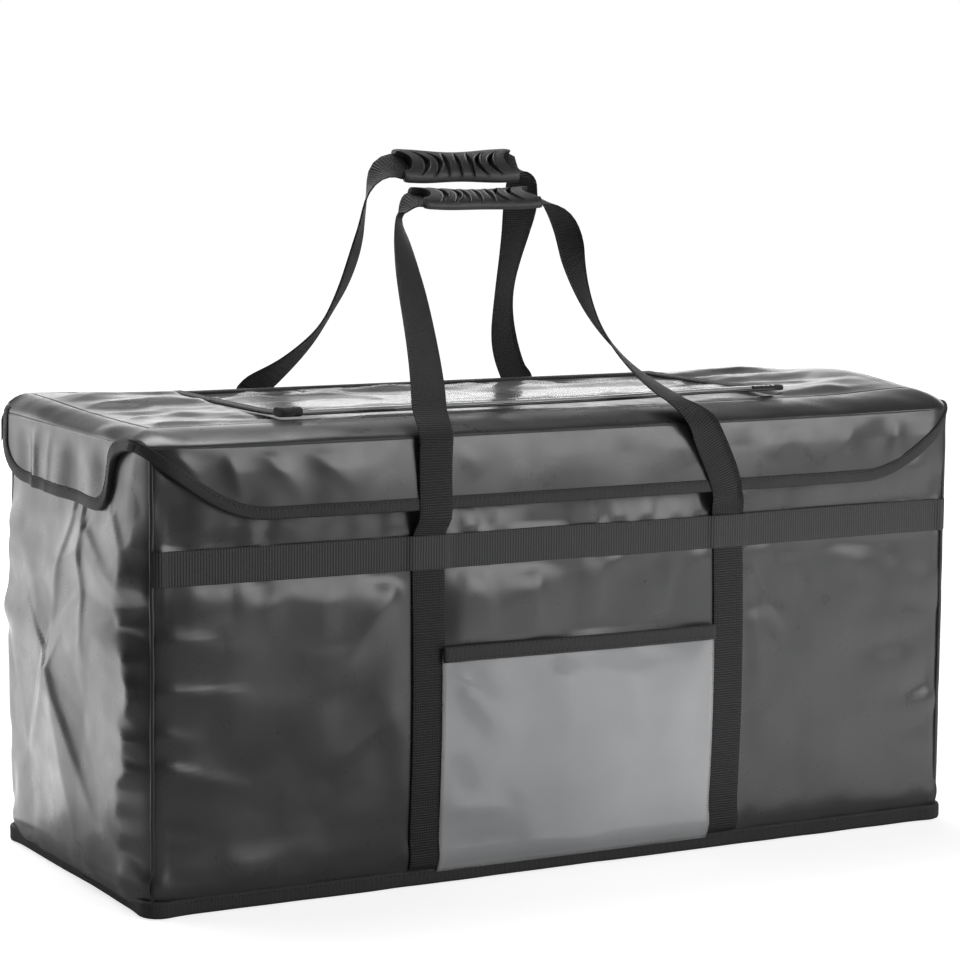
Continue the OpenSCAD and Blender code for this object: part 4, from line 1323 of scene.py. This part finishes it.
def leg(name, side):
    """One leg's middle line from the band to the middle of the grip, and the direction of its width.

    It is worked out for the right leg of a handle in front and then mirrored.
    """
    lean, sag, curl, stand = LEGS[name][side]
    middle = (low(name + "_grip") + high(name + "_grip")) / 2
    grip_y, grip_z = (middle[1] if name == "front" else -middle[1]), middle[2]
    tilt = math.radians(GRIP_TILT[name] * (1 if name == "front" else -1))
    foot = abs(STRAP_AT[name][side])
    start = np.array([foot, -BY - long_wall_out(foot, BAND_TOP) - 0.0022, BAND_TOP - 0.006])
    below = np.array([foot - 0.15 * lean, -PASS_Y, FLAP_LOW - 0.004])
    beside = np.array([STRAP_X - 0.6 * lean, -PASS_Y, LID_LOW - 0.006])
    inside, above = CROSSING[name]
    over = np.array([STRAP_X - lean, -LID_Y + inside, LID_TOP + above - 0.005 * sag])
    shift = GRIP_SHIFT[name] * (1 if side else -1)
    mouth = np.array([GRIP_HALF + 0.002 + shift, grip_y, grip_z])
    drop = mouth + np.array([curl, 0, -curl - 0.006])
    rise = unit([-0.4 * lean, 0, 0.045])
    taut = unit(drop - over)
    slack = unit([drop[0] - over[0], 0.8 * (grip_y - over[1]), 0.06 * (grip_z - over[2])])
    away = unit(((1 - sag) * taut + sag * slack) * [1, 1 - stand, 1])
    upward = unit((1 - sag) * taut + (0.5 + 0.5 * sag) * UP)
    hold = (0.3 + 0.12 * sag) * np.linalg.norm(drop - over)
    parts = [bezier([start, start + 0.010 * UP, below - 0.007 * UP, below], 6),
             bezier([below, below + 0.015 * UP, beside - 0.015 * rise, beside], 6),
             bezier([beside, beside + 0.012 * rise, over - 0.011 * away, over], 8),
             bezier([over, over + hold * away, drop - hold * upward, drop], 40),
             bezier([drop, drop + 0.6 * curl * upward, mouth + np.array([0.55 * curl, 0, 0]), mouth], 8),
             np.array([mouth, [shift, grip_y, grip_z]])]
    path = np.concatenate([parts[0]] + [part[1:] for part in parts[1:]])
    at = lengths(path)
    # Where the curves above end beside the flap, over the lid's edge and at the grip
    flap_top, lid_edge, grip_end = at[12], at[20], at[-2]
    part = clamp((at - lid_edge) / (grip_end - lid_edge))
    lying = 180 * round(TURNS[name][side][0] / 180)
    places = [flap_top, *(lid_edge + np.array(TURN_AT) * (grip_end - lid_edge))]
    turn = np.radians(np.interp(at, places, [lying, *TURNS[name][side]]))
    turn = np.convolve(np.pad(turn, 3, mode="edge"), np.ones(7) / 7, mode="valid")
    lift = tilt * clamp((part - 0.7) / 0.3)
    flat = np.stack([np.cos(turn), np.sin(turn) * np.cos(lift), np.sin(turn) * np.sin(lift)], axis=1)
    along = unit(np.gradient(path, axis=0))
    across = unit(flat - np.sum(flat * along, axis=1, keepdims=True) * along)
    if name == "back":
        path, across = path * [1, -1, 1], across * [1, -1, 1]
    if side == 0:
        path, across = path * [-1, 1, 1], across * [-1, 1, 1]
    return path, across


for name in ("front", "back"):
    left_path, left_across = leg(name, 0)
    right_path, right_across = leg(name, 1)
    path = np.concatenate([left_path, right_path[-2::-1]])
    across = np.concatenate([left_across, right_across[-2::-1]])
    out = unit(np.cross(across, np.gradient(path, axis=0)))
    strap = sweep(name + "_handle_web", path, across, out, flat_profile(WEB_W, WEB_T), WEBBING)
    dress(strap, "webbing", name + "_handle_strap")
    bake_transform(strap)


# Grips: moulded, waisted, with a round mouth at each end and crescent cuts

# Crescents as the place of their tips along the grip and the reach of their two sides
CUTS = [(-0.041, 0.0066, 0.0122), (-0.0275, 0.0062, 0.0112), (-0.0125, -0.0018, 0.0032),
        (0.0, -0.0024, 0.0024), (0.0125, -0.0032, 0.0018), (0.0275, -0.0112, -0.0062),
        (0.041, -0.0122, -0.0066)]
CUT_HALF = 0.0134
CUT_MIDDLE = -0.0022
CUT_DEPTH = 0.0044


def grip(name):
    """A grip as two faces over its length s and its breadth t, with the cuts pressed into the upper one and
    their inner faces painted darker as shade.
    """
    middle = (low(name + "_grip") + high(name + "_grip")) / 2 + GRIP_SHIFT[name] * RIGHT
    tilt = math.radians(GRIP_TILT[name])
    across = np.array([0, math.cos(tilt), math.sin(tilt)])
    up = np.array([0, -math.sin(tilt), math.cos(tilt)])
    s, t = np.meshgrid(np.linspace(-1, 1, 300), np.linspace(-1, 1, 96))
    rough = np.abs(s) * GRIP_HALF
    waist = 0.0160 + 0.0026 * np.sin(clamp(rough / 0.045) * math.pi / 2) ** 2
    half = waist - 0.0035 * clamp((rough - 0.052) / 0.009) ** 2
    b = t * half
    mouth = 0.011 * np.sqrt(clamp(1 - (b / 0.0115) ** 2))
    a = s * (GRIP_HALF - mouth)
    body = 0.0068 - 0.0042 * t ** 2 - 0.0028 * np.abs(t) ** 10 + 0.0022 * (a / GRIP_HALF) ** 2
    under = -0.0042 + 0.0012 * t ** 2 + 0.0022 * (a / GRIP_HALF) ** 2
    relief = np.zeros(a.shape)
    beside = b - CUT_MIDDLE
    q = clamp(1 - (beside / CUT_HALF) ** 2)
    for at, inner, outer in CUTS:
        inside = np.minimum(a - at - inner * q, at + outer * q - a)
        inside = np.where(np.abs(beside) < CUT_HALF, inside, -0.01)
        relief += 0.0005 * hump(inside + 0.0008, 0.0006) - CUT_DEPTH * eased(clamp(inside / 0.0009))
    spread = lambda c: middle + a[..., None] * RIGHT + b[..., None] * across + c[..., None] * up
    obj = sheet(name + "_grip_mould", spread(body + relief), 0, RUBBER, inner=spread(under))
    # The faces deep in the cuts take the darker rubber: painted shade in the recesses
    obj.data.materials.append(RUBBER_PAINTED_SHADE)
    deep = (relief[:-1, :-1] + relief[1:, 1:]).ravel() / 2 < -CUT_DEPTH / 5
    for face in np.flatnonzero(deep):
        obj.data.polygons[int(face)].material_index = 1
    return place(obj, name + "_handle", "grip_rubber", name + "_grip")


grip("front")
grip("back")

CAD_FINISH = {"base_board": BOARD, "hinge_piping": PIPING}
for node, material in CAD_FINISH.items():
    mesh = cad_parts[node].data
    mesh.materials.clear()
    mesh.materials.append(material)


# Floor, lights and camera

# The camera's place and turn, from the fit to the photo
CAMERA_AT = (-1.317, -2.353, 0.646)
LENS = 117.5
yaw, pitch, roll = math.radians(29.10), math.radians(7.13), math.radians(0.53)


def floor_finish():
    """A matte pale floor that the camera sees a little lighter, with its shadow kept."""
    finish = Finish("floor", (0.62, 0.62, 0.62), 0.95, Specular_IOR_Level=0.1)
    finish.patches("Base Color", 2, 2, (0.61, 0.61, 0.61), (0.63, 0.63, 0.63))
    path = finish.nodes.new("ShaderNodeLightPath")
    finish.shader.inputs["Emission Color"].default_value = (1, 1, 1, 1)
    distance = finish.nodes.new("ShaderNodeVectorMath")
    distance.operation = "LENGTH"
    level = finish.nodes.new("ShaderNodeMapRange")
    for socket, value in (("From Min", 0.7), ("From Max", 2.2), ("To Min", 0.74), ("To Max", 1.0)):
        level.inputs[socket].default_value = value
    lift = finish.nodes.new("ShaderNodeMath")
    lift.operation = "MULTIPLY"
    finish.links.new(finish.coordinate.outputs["Object"], distance.inputs[0])
    finish.links.new(distance.outputs["Value"], level.inputs["Value"])
    finish.links.new(path.outputs["Is Camera Ray"], lift.inputs[0])
    finish.links.new(level.outputs["Result"], lift.inputs[1])
    finish.links.new(lift.outputs[0], finish.shader.inputs["Emission Strength"])
    return finish.material


floor_x, floor_y = np.meshgrid(np.linspace(-5, 5, 9), np.linspace(-1.2, 12, 12))
floor_points = np.stack([floor_x, floor_y, 0 * floor_x], axis=2)
floor_turn = np.array(Matrix.Rotation(-yaw, 3, "Z"))
sheet("floor", floor_points @ floor_turn.T, 0.01, floor_finish())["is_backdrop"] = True


def lamp(name, location, target, size, power, spin=0.0):
    data = bpy.data.lights.new(name, "AREA")
    data.shape = "RECTANGLE"
    data.size, data.size_y = size
    data.energy = power
    obj = bpy.data.objects.new(name, data)
    obj.location = location
    aim = (Vector(target) - Vector(location)).to_track_quat("-Z", "Y")
    obj.rotation_euler = (Quaternion((0, 0, 1), math.radians(spin)) @ aim).to_euler()
    obj.visible_camera = False
    scene.collection.objects.link(obj)


lamp("rear_left", (-1.1, 2.4, 0.42), (-0.3, 0, 0.3), (1.8, 0.8), 7.1)
lamp("low_left", (-0.88, 1.32, 0.012), (-0.88, 1.32, 1.0), (1.0, 2.5), 12.4, 20)
lamp("rear", (1.7, 3.2, 0.75), (0, 0, 0.4), (4.5, 1.1), 25.5)
lamp("overhead", (-0.3, 0.9, 2.3), (0, 0, 0.3), (2.2, 1.2), 50)
lamp("front_right", (1.5, -2.5, 1.2), (0.0, 0, 0.3), (2.3, 1.5), 54)
lamp("low_right", (1.09, -1.15, 0.012), (1.09, -1.15, 1.0), (2.14, 1.9), 12.8)

# The studio is white low behind the object, and darker above it and in front of it
world = bpy.data.worlds.new("studio")
world.use_nodes = True
scene.world = world
nodes, links = world.node_tree.nodes, world.node_tree.links
direction = nodes.new("ShaderNodeTexCoord")
path = nodes.new("ShaderNodeLightPath")


def toward(axis, start, end, least, most):
    """A level that goes from least to most as a direction turns towards an axis."""
    facing = nodes.new("ShaderNodeVectorMath")
    facing.operation = "DOT_PRODUCT"
    facing.inputs[1].default_value = axis
    levels = nodes.new("ShaderNodeMapRange")
    levels.interpolation_type = "SMOOTHSTEP"
    for socket, value in (("From Min", start), ("From Max", end), ("To Min", least), ("To Max", most)):
        levels.inputs[socket].default_value = value
    links.new(direction.outputs["Generated"], facing.inputs[0])
    links.new(facing.outputs["Value"], levels.inputs["Value"])
    return levels.outputs["Result"]


def combine(operation, first, second):
    node = nodes.new("ShaderNodeMath")
    node.operation = operation
    links.new(first, node.inputs[0])
    links.new(second, node.inputs[1])
    return node.outputs[0]


behind = toward((0.0, 1.0, 0.0), 0.35, 0.85, 0.14, 1.0)
not_above = toward((0.0, 0.0, 1.0), 0.15, 0.48, 1.0, 0.22)
studio = combine("MULTIPLY", behind, not_above)
links.new(combine("MAXIMUM", studio, path.outputs["Is Camera Ray"]), nodes["Background"].inputs["Strength"])
nodes["Background"].inputs["Color"].default_value = (1, 1, 1, 1)

camera_data = bpy.data.cameras.new("camera")
camera_data.sensor_width = 36
camera_data.lens = LENS
camera = bpy.data.objects.new("camera", camera_data)
forward = Vector((math.sin(yaw) * math.cos(pitch), math.cos(yaw) * math.cos(pitch), -math.sin(pitch)))
level = Vector((math.cos(yaw), -math.sin(yaw), 0))
above = level.cross(forward)
right_hand = math.cos(roll) * level + math.sin(roll) * above
upright = -math.sin(roll) * level + math.cos(roll) * above
camera.matrix_world = Matrix((right_hand, upright, -forward)).transposed().to_4x4()
camera.location = CAMERA_AT
scene.collection.objects.link(camera)
scene.camera = camera

({"cad": [list(map(float, corner)) for corner in cad_box],
           "visual": [list(map(float, corner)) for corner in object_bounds()]})
